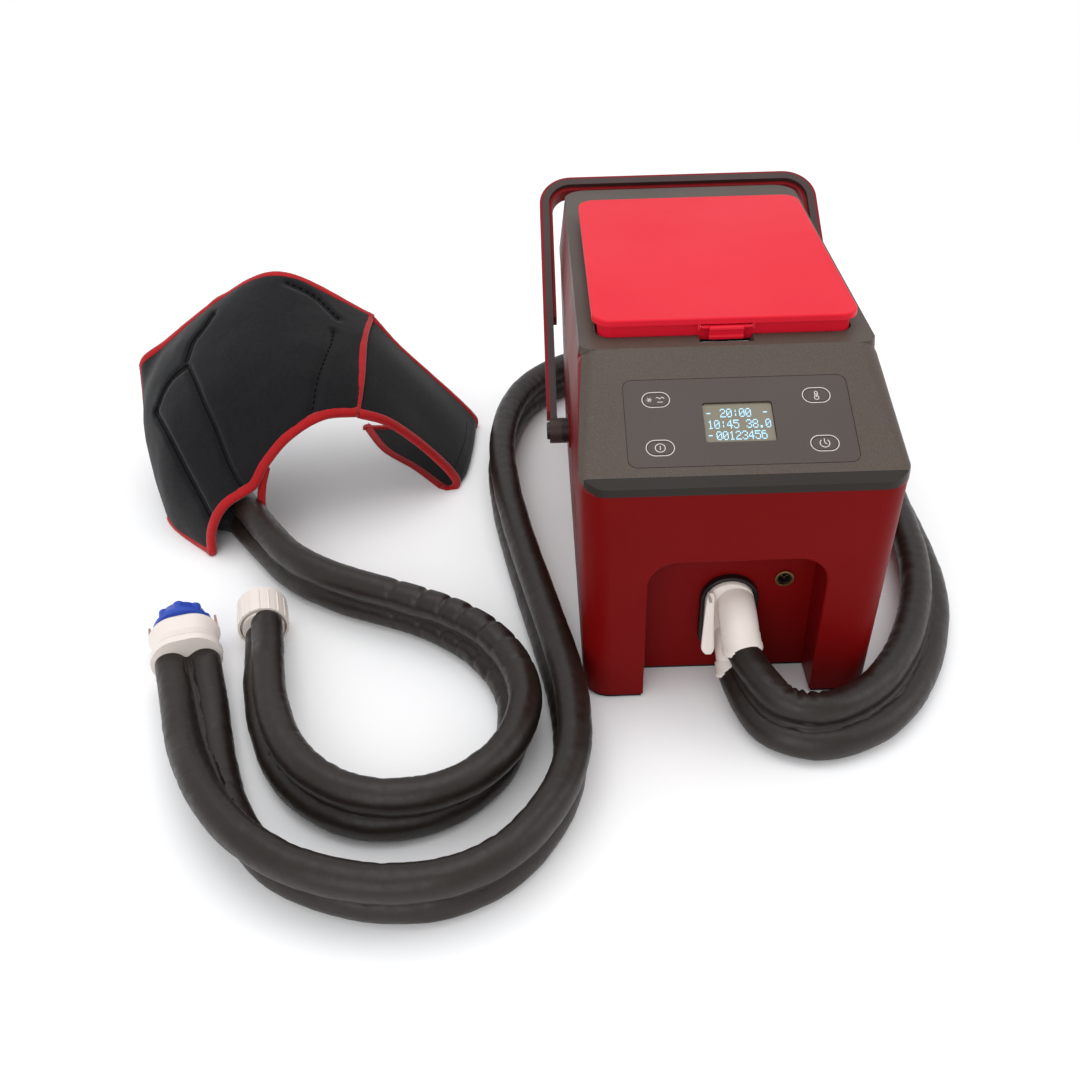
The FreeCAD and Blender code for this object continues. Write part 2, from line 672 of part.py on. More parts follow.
def lid_latch():
    y0 = LID_Y0
    y1 = LID_Y0 + LATCH_T
    yc = (y0 + y1) / 2
    plate = box(-LATCH_HALF_W, LATCH_HALF_W, y0, y1, LATCH_Z0, LATCH_AXIS_Z)
    barrel = rod(V(-LATCH_HALF_W, yc, LATCH_AXIS_Z), V(LATCH_HALF_W, yc, LATCH_AXIS_Z),
                 LATCH_T / 2)
    lip = box(-11.3, 11.3, y0 - 3.0, y0 + 1, LATCH_AXIS_Z - 1.0, LATCH_AXIS_Z + 0.2)
    bead = rod(V(-12, y1 - 0.2, LATCH_Z0 + 1.0), V(12, y1 - 0.2, LATCH_Z0 + 1.0), 0.8)
    solid = fuse([plate, barrel, lip, bead])
    return cut(solid, [rod(V(-25, yc, LATCH_AXIS_Z), V(25, yc, LATCH_AXIS_Z),
                           LATCH_PIN_R + RUN)])


def latch_pin():
    yc = LID_Y0 + LATCH_T / 2
    x = LATCH_HALF_W + GAP + LUG_W
    return rod(V(-x, yc, LATCH_AXIS_Z), V(x, yc, LATCH_AXIS_Z), LATCH_PIN_R)


# ---------------------------------------------------------------------------
# handle, drawn upright about the pivot and laid back to its rest
# ---------------------------------------------------------------------------
def laid_back(shape):
    m = FreeCAD.Placement(V(0, PIVOT_Y, PIVOT_Z), FreeCAD.Rotation(V(1, 0, 0), REST_TILT))
    moved = shape.copy()
    moved.Placement = m.multiply(moved.Placement)
    return moved


def bail_region(half_w, height, corner, y0, y1):
    """Solid filling the bail's inside up to the given width and height."""
    k = corner * (1 - math.sqrt(0.5))
    e = [
        Part.makeLine(V(-half_w, y0, 0), V(half_w, y0, 0)),
        Part.makeLine(V(half_w, y0, 0), V(half_w, y0, height - corner)),
        Part.Arc(V(half_w, y0, height - corner), V(half_w - k, y0, height - k),
                 V(half_w - corner, y0, height)).toShape(),
        Part.makeLine(V(half_w - corner, y0, height), V(-half_w + corner, y0, height)),
        Part.Arc(V(-half_w + corner, y0, height), V(-half_w + k, y0, height - k),
                 V(-half_w, y0, height - corner)).toShape(),
        Part.makeLine(V(-half_w, y0, height - corner), V(-half_w, y0, 0)),
    ]
    return prism(Part.Wire(e), V(0, y1 - y0, 0))


def bail_band(x0, h0, x1, h1, y0, y1, low):
    """Band between two nested bail outlines, from height low upward."""
    c1 = BAIL_CORNER + x1 - BAIL_OUT_X
    c0 = c1 - (x1 - x0)
    band = bail_region(x1, h1, c1, y0, y1).cut(bail_region(x0, h0, c0, y0 - 1, y1 + 1))
    return band.common(box(-200, 200, y0 - 1, y1 + 1, low, 300))


def handle_bail():
    half = BAIL_DEPTH / 2
    band = bail_band(BAIL_IN_X, BAIL_IN_R, BAIL_OUT_X, BAIL_OUT_R, -half, half, 0)
    hubs = [rod(V(sx * HUB_X0, 0, 0), V(sx * HUB_X1, 0, 0), HUB_R) for sx in (-1, 1)]
    solid = fuse([band] + hubs)
    bores = [rod(V(sx * 100, 0, 0), V(sx * 125, 0, 0), PIVOT_R + RUN) for sx in (-1, 1)]
    return laid_back(cut(solid, bores))


def handle_grip():
    half = BAIL_DEPTH / 2
    out_x = BAIL_OUT_X + GRIP_T_OUT
    in_x = BAIL_IN_X - GRIP_T_IN
    out_r = BAIL_OUT_R + GRIP_T_OUT
    in_r = BAIL_IN_R - GRIP_T_IN
    outer = bail_band(BAIL_OUT_X, BAIL_OUT_R, out_x, out_r, -half + 1, half + GRIP_WEB,
                      HUB_R + 4)
    inner = bail_band(in_x, in_r, BAIL_IN_X, BAIL_IN_R, -half + GRIP_SETBACK,
                      half + GRIP_WEB, GRIP_FROM)
    web = bail_band(in_x, in_r, out_x, out_r, half, half + GRIP_WEB, GRIP_FROM)
    return laid_back(fuse([outer, inner, web]))


def pivot_boss():
    ring = rod(V(PAD_X, PIVOT_Y, PIVOT_Z), V(HUB_X0 - PLAY, PIVOT_Y, PIVOT_Z), HUB_R)
    return cut(ring, [rod(V(90, PIVOT_Y, PIVOT_Z), V(120, PIVOT_Y, PIVOT_Z), PIVOT_R + RUN)])


def pivot_screw():
    x = HUB_X1 + PLAY
    shank = rod(V(88, PIVOT_Y, PIVOT_Z), V(x, PIVOT_Y, PIVOT_Z), PIVOT_R)
    head = rod(V(x, PIVOT_Y, PIVOT_Z), V(x + 2.2, PIVOT_Y, PIVOT_Z), 7.0)
    head = head.makeFillet(1.2, [e for e in head.Edges
                                 if abs(e.CenterOfMass.x - x - 2.2) < 0.01])
    slot = box(x + 1.2, x + 4, PIVOT_Y - 4, PIVOT_Y + 4, PIVOT_Z - 0.7, PIVOT_Z + 0.7)
    return cut(fuse([shank, head]), [slot])


def pivot_nut():
    pts = []
    for i in range(6):
        a = math.radians(60 * i)
        pts.append(V(89.5, PIVOT_Y + 7.2 * math.cos(a), PIVOT_Z + 7.2 * math.sin(a)))
    nut = prism(polygon(pts), V(4.5, 0, 0))
    return cut(nut, [rod(V(80, PIVOT_Y, PIVOT_Z), V(120, PIVOT_Y, PIVOT_Z), PIVOT_R + RUN)])


# ---------------------------------------------------------------------------
# socket, plug and jack
# ---------------------------------------------------------------------------
def socket_bezel():
    y0 = ARCH_BACK_Y - BEZEL_PROUD
    ring = tombstone(BEZEL_HALF_W, BEZEL_Z0, BEZEL_Z1, BEZEL_FOOT_R, y0, ARCH_BACK_Y)
    rims = [e for e in ring.Edges if abs(e.CenterOfMass.y - y0) < 0.01]
    ring = ring.makeFillet(1.2, rims)
    return ring.cut(bezel_inner(0, y0 - 1, ARCH_BACK_Y + 1))


def port_heights():
    return (45.0, 68.0)


def socket_block():
    y0 = ARCH_BACK_Y + WALL
    body = rblock_xz(SOCKET_X - 21, SOCKET_X + 21, BEZEL_Z0 - 1, BEZEL_Z1 + 1, 5.0, y0, y0 + 20)
    add = [rod(V(SOCKET_X + 20, y0 + 12, 40), V(SOCKET_X + 31, y0 + 12, 40), 5.0),
           rod(V(SOCKET_X - 20, y0 + 12, 60), V(SOCKET_X - 31, y0 + 12, 60), 5.0)]
    tools = [rod(V(SOCKET_X, y0 - 1, z), V(SOCKET_X, y0 + 12, z), NIPPLE_R + GAP)
             for z in port_heights()]
    tools.append(rod(V(SOCKET_X, y0 + 12, 40), V(SOCKET_X + 32, y0 + 12, 40), 3.0))
    tools.append(rod(V(SOCKET_X, y0 + 12, 60), V(SOCKET_X - 32, y0 + 12, 60), 3.0))
    return cut(fuse([body] + add), tools)


def rblock_xz(x0, x1, z0, z1, r, y0, y1):
    """Rounded block whose rounded outline lies in the XZ plane."""
    flat = rblock(x0, x1, z0, z1, r, 0, y1 - y0)
    flat.rotate(V(0, 0, 0), V(1, 0, 0), 90)
    flat.translate(V(0, y1, 0))
    return flat


LEAD_HIGH = V(8.0, -193.0, 42.0)
LEAD_HIGH_DIR = V(0.30, -0.75, -0.59)
LEAD_LOW = V(-1.5, -190.0, 20.0)
LEAD_LOW_DIR = V(0.10, -0.97, -0.20)


def plug_body():
    y_in = ARCH_BACK_Y + WALL
    head = bezel_inner(GAP, PLUG_FRONT_Y, y_in)
    nipples = [rod(V(SOCKET_X, PLUG_FRONT_Y, z), V(SOCKET_X, y_in + 10, z), NIPPLE_R)
               for z in port_heights()]
    add = []
    high = V(LEAD_HIGH_DIR).normalize()
    low = V(LEAD_LOW_DIR).normalize()
    root_high = LEAD_HIGH.sub(V(high).multiply(13))
    root_low = LEAD_LOW.sub(V(low).multiply(10))
    add.append(rod(V(2.0, PLUG_FRONT_Y + 4, 61.0), root_high, 14.0))
    add.append(Part.makeSphere(14.0, root_high))
    add.append(rod(root_high, LEAD_HIGH, 14.6))
    add.append(rod(LEAD_HIGH.sub(V(high).multiply(4)), LEAD_HIGH, 15.6))
    add.append(rod(V(0.5, PLUG_FRONT_Y + 4, 36.0), root_low, 12.0))
    add.append(Part.makeSphere(12.0, root_low))
    add.append(rod(root_low, LEAD_LOW, 13.0))
    add.append(box(-16.5, -9.0, PLUG_FRONT_Y - 7, PLUG_FRONT_Y + 1, 70, 79))
    outside = box(-60, 60, -230, ARCH_BACK_Y - BEZEL_PROUD - GAP, 0.6, 200)
    solid = fuse([head] + nipples + fuse(add).common(outside).Solids)
    r = LOBE_D / 2 + GAP
    return cut(solid, [rod(V(-14.0, -195, 76.0), V(-14.0, PLUG_FRONT_Y, 76.0), 1.0 + RUN),
                       rod(LEAD_HIGH, LEAD_HIGH.add(V(high).multiply(30)), r),
                       rod(LEAD_LOW, LEAD_LOW.add(V(low).multiply(30)), r)])


def plug_lever():
    """Side release lever: curved fin with a thumb foot."""
    y0 = PLUG_FRONT_Y - 7.3
    pts = [(y0, 78.0), (y0 - 2.5, 70.0), (y0 - 8.0, 56.0), (y0 - 12.0, 44.0), (y0 - 13.0, 37.0),
           (y0 - 3.0, 33.0), (y0 - 0.5, 40.0), (y0, 52.0)]
    curve = Part.BSplineCurve()
    curve.interpolate([V(-17.5, y, z) for y, z in pts[:5]])
    e = [curve.toShape()]
    tail = pts[4:] + [pts[0]]
    for a, b in zip(tail[:-1], tail[1:]):
        e.append(Part.makeLine(V(-17.5, a[0], a[1]), V(-17.5, b[0], b[1])))
    fin = prism(Part.Wire(e), V(3.0, 0, 0))
    foot = box(-21.5, -14.5, y0 - 12.6, y0 - 3.0, 34.0, 37.5)
    eye = rod(V(-14.0, y0 - 3.4, 76.0), V(-14.0, y0, 76.0), 2.6)
    solid = fuse([fin.cut(box(-30, 0, y0 - 30, y0 + 5, 0, 34.0)), foot, eye])
    return cut(solid, [rod(V(-14.0, -200, 76.0), V(-14.0, -160, 76.0), 1.0 + RUN)])


def lever_pin():
    return rod(V(-14.0, PLUG_FRONT_Y - 11.2, 76.0), V(-14.0, PLUG_FRONT_Y, 76.0), 1.0)


def jack_ring():
    y = ARCH_BACK_Y
    flange = rod(V(JACK_X, y - 2.0, JACK_Z), V(JACK_X, y, JACK_Z), JACK_R)
    barrel = rod(V(JACK_X, y, JACK_Z), V(JACK_X, y + 6, JACK_Z), JACK_R - 0.5 - GAP)
    bore = rod(V(JACK_X, y - 3, JACK_Z), V(JACK_X, y + 7, JACK_Z), JACK_R - 1.6)
    return cut(fuse([flange, barrel]), [bore])


def jack_insert():
    y = ARCH_BACK_Y
    front = rod(V(JACK_X, y - 1.2, JACK_Z), V(JACK_X, y + 6, JACK_Z), JACK_R - 1.6 - GAP)
    back = rod(V(JACK_X, y + 6, JACK_Z), V(JACK_X, y + 16, JACK_Z), JACK_R + 1.0)
    well = rod(V(JACK_X, y - 2, JACK_Z), V(JACK_X, y + 4, JACK_Z), 3.9)
    return cut(fuse([front, back]), [well])


def jack_pins():
    y = ARCH_BACK_Y + 4
    pins = []
    for dx, dz in ((0.0, 0.0), (-1.9, 1.6), (1.9, 1.6)):
        pins.append(rod(V(JACK_X + dx, y - 4.2, JACK_Z + dz), V(JACK_X + dx, y, JACK_Z + dz), 0.6))
    return Part.makeCompound(pins)


# ---------------------------------------------------------------------------
# pump, heater and pipework under the tub
# ---------------------------------------------------------------------------
PUMP_X = -18.0
PUMP_Y = -10.0
PUMP_Z = 34.0
PLATE_Z = FOOT_H + PLATE_T


def pump_motor():
    can = rod(V(PUMP_X - 42, PUMP_Y, PUMP_Z), V(PUMP_X, PUMP_Y, PUMP_Z), 18.0)
    foot = box(PUMP_X - 36, PUMP_X - 10, PUMP_Y - 15, PUMP_Y + 15, PLATE_Z, PUMP_Z - 8)
    bore = rod(V(PUMP_X - 12, PUMP_Y, PUMP_Z), V(PUMP_X + 1, PUMP_Y, PUMP_Z), 2.0 + RUN)
    return cut(fuse([can, foot]), [bore])


def pump_body():
    x1 = PUMP_X + 19
    case = rod(V(PUMP_X, PUMP_Y, PUMP_Z), V(x1, PUMP_Y, PUMP_Z), 23.0)
    inlet = rod(V(x1 - 1, PUMP_Y, PUMP_Z), V(x1 + 10, PUMP_Y, PUMP_Z), 5.0)
    outlet = rod(V(PUMP_X + 9.5, PUMP_Y, PUMP_Z + 14), V(PUMP_X + 9.5, PUMP_Y + 30, PUMP_Z + 14),
                 5.0)
    tools = [rod(V(PUMP_X + 3, PUMP_Y, PUMP_Z), V(x1 - 3, PUMP_Y, PUMP_Z), 19.5),
             rod(V(x1 - 4, PUMP_Y, PUMP_Z), V(x1 + 11, PUMP_Y, PUMP_Z), 3.0),
             rod(V(PUMP_X + 9.5, PUMP_Y + 6, PUMP_Z + 14),
                 V(PUMP_X + 9.5, PUMP_Y + 31, PUMP_Z + 14), 3.0),
             rod(V(PUMP_X - 1, PUMP_Y, PUMP_Z), V(PUMP_X + 4, PUMP_Y, PUMP_Z), 2.0 + RUN)]
    return cut(fuse([case, inlet, outlet]), tools)


def pump_impeller():
    shaft = rod(V(PUMP_X - 11, PUMP_Y, PUMP_Z), V(PUMP_X + 8, PUMP_Y, PUMP_Z), 2.0)
    disc = rod(V(PUMP_X + 4, PUMP_Y, PUMP_Z), V(PUMP_X + 6, PUMP_Y, PUMP_Z), 17.5)
    vanes = []
    for i in range(6):
        vane = box(PUMP_X + 5.5, PUMP_X + 13, 3.5, 17.0, -0.8, 0.8)
        vane.rotate(V(0, 0, 0), V(1, 0, 0), 60 * i)
        vane.translate(V(0, PUMP_Y, PUMP_Z))
        vanes.append(vane)
    hub = rod(V(PUMP_X + 6, PUMP_Y, PUMP_Z), V(PUMP_X + 13, PUMP_Y, PUMP_Z), 4.0)
    return fuse([shaft, disc, hub] + vanes)


def heater_block():
    y0 = 36.0
    body = rblock(-32, 44, y0, y0 + 40, 3.0, PLATE_Z, PLATE_Z + 24)
    x = PUMP_X + 9.5
    add = [rod(V(x, y0 + 16, PLATE_Z + 23), V(x, y0 + 16, PLATE_Z + 26), 5.0),
           rod(V(43, y0 + 16, PLATE_Z + 12), V(54, y0 + 16, PLATE_Z + 12), 5.0)]
    tools = [rod(V(x, y0 + 16, PLATE_Z + 8), V(x, y0 + 16, PLATE_Z + 32), 3.0),
             rod(V(x, y0 + 16, PLATE_Z + 12), V(56, y0 + 16, PLATE_Z + 12), 3.0)]
    for i in range(5):
        y = y0 + 4 + 7 * i
        tools.append(box(8, 40, y, y + 2.4, PLATE_Z + 18, PLATE_Z + 30))
    return cut(fuse([body] + add), tools)


def water_tube(points, label):
    """Silicone tube with a clear bore."""
    path = tangent_path(points, label)
    d = points[1].sub(points[0])
    rings = []
    for r in (5.0, 3.0):
        circle = Part.Wire(Part.Circle(points[0], d, r).toShape())
        rings.append(path.makePipeShell([circle], True, False, 1))
    return rings[0].cut(rings[1])


def tube_suction():
    x = PUMP_X + 29
    return water_tube([V(30, PUMP_Y, TUB_FLOOR - 8), V(30, PUMP_Y, PUMP_Z),
                       V(x, PUMP_Y, PUMP_Z)], "tube_suction")


def tube_pressure():
    x = PUMP_X + 9.5
    z = PUMP_Z + 14
    return water_tube([V(x, PUMP_Y + 30, z), V(x, 52.0, z), V(x, 52.0, PLATE_Z + 26)],
                      "tube_pressure")


def tube_supply():
    y0 = ARCH_BACK_Y + WALL + 12
    return water_tube([V(54, 52.0, PLATE_Z + 12), V(76, 52.0, PLATE_Z + 12),
                       V(76, 20.0, PLATE_Z + 12), V(70, -70.0, 24.0), V(66, -118.0, 34.0),
                       V(60, y0, 40.0), V(SOCKET_X + 31, y0, 40.0)], "tube_supply")


def tube_return():
    y0 = ARCH_BACK_Y + WALL + 12
    return water_tube([V(SOCKET_X - 31, y0, 60), V(-50, y0, 60), V(-56, y0 + 12, 80),
                       V(-52, -126, 120), V(-45, -110, 150), V(-45, -82, 150)], "tube_return")


# ---------------------------------------------------------------------------
# twin hoses
# ---------------------------------------------------------------------------
def stadium(centre, across, up, w, h):
    """Closed flat section w across and h up, with half-round sides."""
    r = h / 2
    a = V(across).normalize()
    u = V(up).normalize()
    k = (w - h) / 2

    def at(x, z):
        return centre.add(V(a).multiply(x)).add(V(u).multiply(z))

    e = [
        Part.makeLine(at(-k, -r), at(k, -r)),
        Part.Arc(at(k, -r), at(k + r, 0), at(k, r)).toShape(),
        Part.makeLine(at(k, r), at(-k, r)),
        Part.Arc(at(-k, r), at(-k - r, 0), at(-k, -r)).toShape(),
    ]
    return Part.Wire(e)


def flat_hose(points, label):
    """Twin hose lying level along the points."""
    path = tangent_path(points, label)
    d = points[1].sub(points[0])
    section = stadium(points[0], V(-d.y, d.x, 0), V(0, 0, 1), HOSE_W, LOBE_D)
    shell = Part.BRepOffsetAPI.MakePipeShell(path)
    shell.setBiNormalMode(V(0, 0, 1))
    shell.add(section)
    shell.build()
    shell.makeSolid()
    return shell.shape()


def round_tube(points, label):
    path = tangent_path(points, label)
    d = points[1].sub(points[0])
    circle = Part.Wire(Part.Circle(points[0], d, LOBE_D / 2).toShape())
    return path.makePipeShell([circle], True, False, 1)


MACHINE_ROUTE = [
    (64, -240), (104, -218), (143, -166), (166, -95), (171, -22), (170, 50), (167, 118),
    (155, 182), (122, 234), (66, 262), (2, 269), (-58, 261), (-112, 234), (-146, 187),
    (-160, 118), (-157, 38), (-147, -47), (-135, -125), (-128, -182), (-124, -232),
    (-129, -284), (-151, -327), (-180, -353), (-217, -364), (-257, -358), (-297, -338),
    (-331, -302), (-357, -251), (-373, -199), (-383, -165)]
WRAP_ROUTE = [
    (-382, 22), (-357, -12), (-325, -52), (-285, -81), (-244, -103), (-213, -129),
    (-190, -161), (-177, -198), (-174, -236), (-182, -268), (-203, -292), (-232, -303),
    (-264, -293), (-292, -265), (-312, -222), (-324, -178), (-328, -160)]


def on_floor(route):
    return [V(x, y, HOSE_Z) for x, y in route]


def machine_hose():
    route = on_floor(MACHINE_ROUTE)
    main = flat_hose(route, "machine_hose")
    d = V(route[1].sub(route[0])).normalize()
    side = V(-d.y, d.x, 0).multiply(LOBE_D / 2)
    near = route[0].add(side)
    far = route[0].sub(side)
    high = V(LEAD_HIGH_DIR).normalize()
    low = V(LEAD_LOW_DIR).normalize()
    top = round_tube([LEAD_HIGH, LEAD_HIGH.add(V(high).multiply(17)),
                      near.sub(V(d).multiply(26)).add(V(-3, 4, 5)), near], "lead_high")
    bottom = round_tube([LEAD_LOW, LEAD_LOW.add(V(low).multiply(26)),
                         far.sub(V(d).multiply(38)).add(V(0, 2, 0)), far], "lead_low")
    return fuse([main, top, bottom])


CONNECTOR_T = (0.0, 5.0, 9.0, 15.0, 23.0, 27.0, 29.0)
CONNECTOR_W = (50.0, 51.0, 47.0, 46.0, 49.0, 51.0, 49.0)
CONNECTOR_H = (40.0, 41.0, 37.0, 36.0, 39.0, 41.0, 39.0)
CONNECTOR_Z = 22.6


def end_frame(route):
    """Outward direction and across direction at a route's last point."""
    a = V(*route[-2], 0)
    b = V(*route[-1], 0)
    d = b.sub(a).normalize()
    return d, V(d.y, -d.x, 0)


def along(route, t, z):
    d, _ = end_frame(route)
    return V(route[-1][0], route[-1][1], z).add(V(d).multiply(t))


def connector_body():
    d, side = end_frame(MACHINE_ROUTE)
    parts = []
    wires = []
    for t, w, h in zip(CONNECTOR_T, CONNECTOR_W, CONNECTOR_H):
        wires.append(stadium(along(MACHINE_ROUTE, t, CONNECTOR_Z - 1.5), side, V(0, 0, 1), w, h))
    for a, b in zip(wires[:-1], wires[1:]):
        parts.append(Part.makeLoft([a, b], True, True))
    spigot = rod(along(MACHINE_ROUTE, 28, CONNECTOR_Z), along(MACHINE_ROUTE, 47, CONNECTOR_Z),
                 13.0)
    ports = [rod(along(MACHINE_ROUTE, 40, CONNECTOR_Z).add(V(side).multiply(k)),
                 along(MACHINE_ROUTE, 48, CONNECTOR_Z).add(V(side).multiply(k)), 4.0)
             for k in (-6.0, 6.0)]
    return cut(fuse(parts + [spigot]), ports)


def connector_collar():
    """Lobed hand ring with a flange, free to turn on the spigot."""
    p = along(MACHINE_ROUTE, 29 + PLAY, CONNECTOR_Z)
    q = along(MACHINE_ROUTE, 33.0, CONNECTOR_Z)
    flange = rod(p, q, 22.0)
    d, side = end_frame(MACHINE_ROUTE)
    cone = Part.makeCone(20.5, 17.0, 12.5, q, d)
    lobes = []
    for i in range(8):
        a = math.radians(45 * i)
        offset = V(side).multiply(15.5 * math.cos(a)).add(V(0, 0, 15.5 * math.sin(a)))
        lobes.append(rod(q.add(offset), q.add(offset).add(V(d).multiply(11.0)), 4.2))
    bore = rod(along(MACHINE_ROUTE, 25, CONNECTOR_Z), along(MACHINE_ROUTE, 60, CONNECTOR_Z),
               13.0 + GAP)
    return cut(fuse([flange, cone] + lobes), [bore])


def connector_clips():
    d, side = end_frame(MACHINE_ROUTE)
    clips = []
    for k in (-1, 1):
        root = along(MACHINE_ROUTE, 29.0, CONNECTOR_Z).add(V(side).multiply(23.6 * k))
        clip = Part.makeBox(1.6, 9.0, 9.0, V(-0.8, 0, -4.5))
        clip.rotate(V(0, 0, 0), V(0, 0, 1), math.degrees(math.atan2(d.y, d.x)) - 90)
        clip.translate(root)
        clips.append(clip)
    return Part.makeCompound(clips)


RING_R = 19.0
RING_L = 26.0
CORE_R = 15.2
NECK_L = 30.0


def wrap_hose():
    route = on_floor(WRAP_ROUTE)
    main = flat_hose(route, "wrap_hose")
    d, side = end_frame(WRAP_ROUTE)
    a = stadium(along(WRAP_ROUTE, 0, HOSE_Z), side, V(0, 0, 1), HOSE_W, LOBE_D)
    b = stadium(along(WRAP_ROUTE, NECK_L, RING_R + 0.1), side, V(0, 0, 1), 29.4, 29.0)
    return fuse([main, Part.makeLoft([a, b], True, True)])


def coupling_core():
    z = RING_R + 0.1
    body = rod(along(WRAP_ROUTE, NECK_L, z), along(WRAP_ROUTE, NECK_L + 24, z), CORE_R)
    d, side = end_frame(WRAP_ROUTE)
    ports = [rod(along(WRAP_ROUTE, NECK_L + 12, z).add(V(side).multiply(k)),
                 along(WRAP_ROUTE, NECK_L + 25, z).add(V(side).multiply(k)), 4.0)
             for k in (-6.0, 6.0)]
    stop = rod(along(WRAP_ROUTE, NECK_L + 6, z), along(WRAP_ROUTE, NECK_L + 8, z), CORE_R + 1.4)
    return cut(fuse([body, stop]), ports)


def coupling_ring():
    z = RING_R + 0.1
    a = along(WRAP_ROUTE, NECK_L + 2, z)
    b = along(WRAP_ROUTE, NECK_L + 2 + RING_L, z)
    body = rod(a, b, RING_R - 0.6)
    d, side = end_frame(WRAP_ROUTE)
    ribs = []
    for i in range(16):
        t = math.radians(22.5 * i)
        offset = V(side).multiply((RING_R - 0.9) * math.cos(t))
        offset = offset.add(V(0, 0, (RING_R - 0.9) * math.sin(t)))
        ribs.append(rod(a.add(offset), a.add(offset).add(V(d).multiply(RING_L - 4)), 0.9))
    bores = [rod(a.sub(d), b.add(d), CORE_R + GAP),
             rod(a.sub(d), along(WRAP_ROUTE, NECK_L + 8 + PLAY, z), CORE_R + 1.4 + GAP)]
    return cut(fuse([body] + ribs), bores)


# ---------------------------------------------------------------------------
# shoulder wrap: padded shell standing as an arch
# ---------------------------------------------------------------------------
WRAP_T = 7.0
STRAP_T = 5.0
# each section: where its left end stands, where its plane points, outer curve (u, z)
PANEL_SECTIONS = [
    ((-398, -9), (-202, 78), [(0, 0.5), (10, 38), (42, 68), (80, 92), (108, 99), (143, 88)]),
    ((-447, 40), (-196, 100), [(0, 0.5), (5, 52), (37, 98), (82, 125), (133, 131), (183, 106)]),
    ((-476, 100), (-192, 140), [(0, 0.5), (3, 66), (36, 115), (85, 142), (136, 151), (207, 118)]),
    ((-490, 150), (-188, 184), [(0, 0.5), (7, 84), (42, 122), (94, 150), (147, 164),
                                (219, 120)])]
# strap: first point meets the panel, the last is the fold near the floor
STRAP_SECTIONS = [
    ((-398, -9), (-202, 78), [(143, 88), (168, 60), (190, 30), (205, 9)], 34),
    ((-447, 40), (-196, 100), [(183, 106), (210, 74), (236, 38), (255, 9)], 56),
    ((-476, 100), (-192, 140), [(207, 118), (237, 84), (266, 42), (284, 9)], 74),
    ((-490, 150), (-188, 184), [(219, 120), (252, 78), (282, 38), (301, 9)], 88)]


def plane_points(start, toward, pairs):
    """Points (u, z) of an upright plane as points in space."""
    a = V(*start, 0)
    d = V(*toward, 0).sub(a).normalize()
    return [a.add(V(d).multiply(u)).add(V(0, 0, z)) for u, z in pairs]


def inset_curve(pairs, thickness):
    """Curve points moved inward, to the right of the direction of travel."""
    moved = []
    for i, (u, z) in enumerate(pairs):
        a = pairs[max(0, i - 1)]
        b = pairs[min(len(pairs) - 1, i + 1)]
        du = b[0] - a[0]
        dz = b[1] - a[1]
        k = thickness / math.hypot(du, dz)
        moved.append((u + dz * k, z - du * k))
    return moved


def closed_section(start, toward, outer, inner):
    """Closed wire from an outer and an inner curve, both given start to end."""
    o = plane_points(start, toward, outer)
    n = plane_points(start, toward, inner)
    edges = []
    for line in (o, n[::-1]):
        curve = Part.BSplineCurve()
        curve.interpolate(line)
        edges.append(curve.toShape())
    return Part.Wire([edges[0], Part.makeLine(o[-1], n[-1]), edges[1],
                      Part.makeLine(n[0], o[0])])


def wrap_panel():
    wires = []
    for start, toward, outer in PANEL_SECTIONS:
        inner = inset_curve(outer, WRAP_T)
        inner[0] = (outer[0][0] + WRAP_T, 0.5)
        wires.append(closed_section(start, toward, outer, inner))
    return Part.makeLoft(wires, True, False)


def strap_point(section, u, z):
    return plane_points(section[0], section[1], [(u, z)])[0]


def wrap_strap():
    """Strap that runs on from the panel, folds at the floor and returns under it."""
    wires = []
    for start, toward, arch, _ in STRAP_SECTIONS:
        inner = inset_curve(arch, STRAP_T)
        inner[-1] = (arch[-1][0] - STRAP_T - 1, arch[-1][1])
        wires.append(closed_section(start, toward, arch, inner))
    arch = Part.makeLoft(wires, True, False)
    fold = []
    for z, pull in ((0.4, 3.0), (9.0, 0.0)):
        outer = [strap_point(s, s[2][-1][0] - pull, z) for s in STRAP_SECTIONS]
        inner = [strap_point(s, s[2][-1][0] - STRAP_T - 1 - pull, z) for s in STRAP_SECTIONS]
        fold.append(ribbon(outer, inner))
    fold = Part.makeLoft(fold, True, True)
    outer = [strap_point(s, s[2][-1][0] - 3.0, 0.4) for s in STRAP_SECTIONS]
    inner = [strap_point(s, s[2][-1][0] - s[3], 0.4) for s in STRAP_SECTIONS]
    flap = prism(ribbon(outer, inner), V(0, 0, STRAP_T))
    return fuse([arch, fold, flap])


def ribbon(one, two):
    """Closed wire between two curves that run the same way."""
    a = Part.BSplineCurve()
    a.interpolate(one)
    b = Part.BSplineCurve()
    b.interpolate(two[::-1])
    return Part.Wire([a.toShape(), Part.makeLine(one[-1], two[-1]), b.toShape(),
                      Part.makeLine(two[0], one[0])])


def wrap_inlet():
    """Sewn pouch that leads the hose into the panel's left side."""
    d = V(WRAP_ROUTE[0][0] - WRAP_ROUTE[1][0], WRAP_ROUTE[0][1] - WRAP_ROUTE[1][1], 0).normalize()
    a = stadium(V(*WRAP_ROUTE[0], HOSE_Z), V(d.y, -d.x, 0), V(0, 0, 1), HOSE_W, LOBE_D)
    b = stadium(V(-425, 52, 9.0), V(0.4, 0.92, 0), V(0, 0, 1), 62.0, 16.0)
    c = stadium(V(-452, 64, 8.0), V(0.43, -0.9, 0).negative(), V(0, 0, 1), 74.0, 13.0)
    first = Part.makeLoft([a, b], True, True)
    return fuse([first, Part.makeLoft([b, c], True, True)])


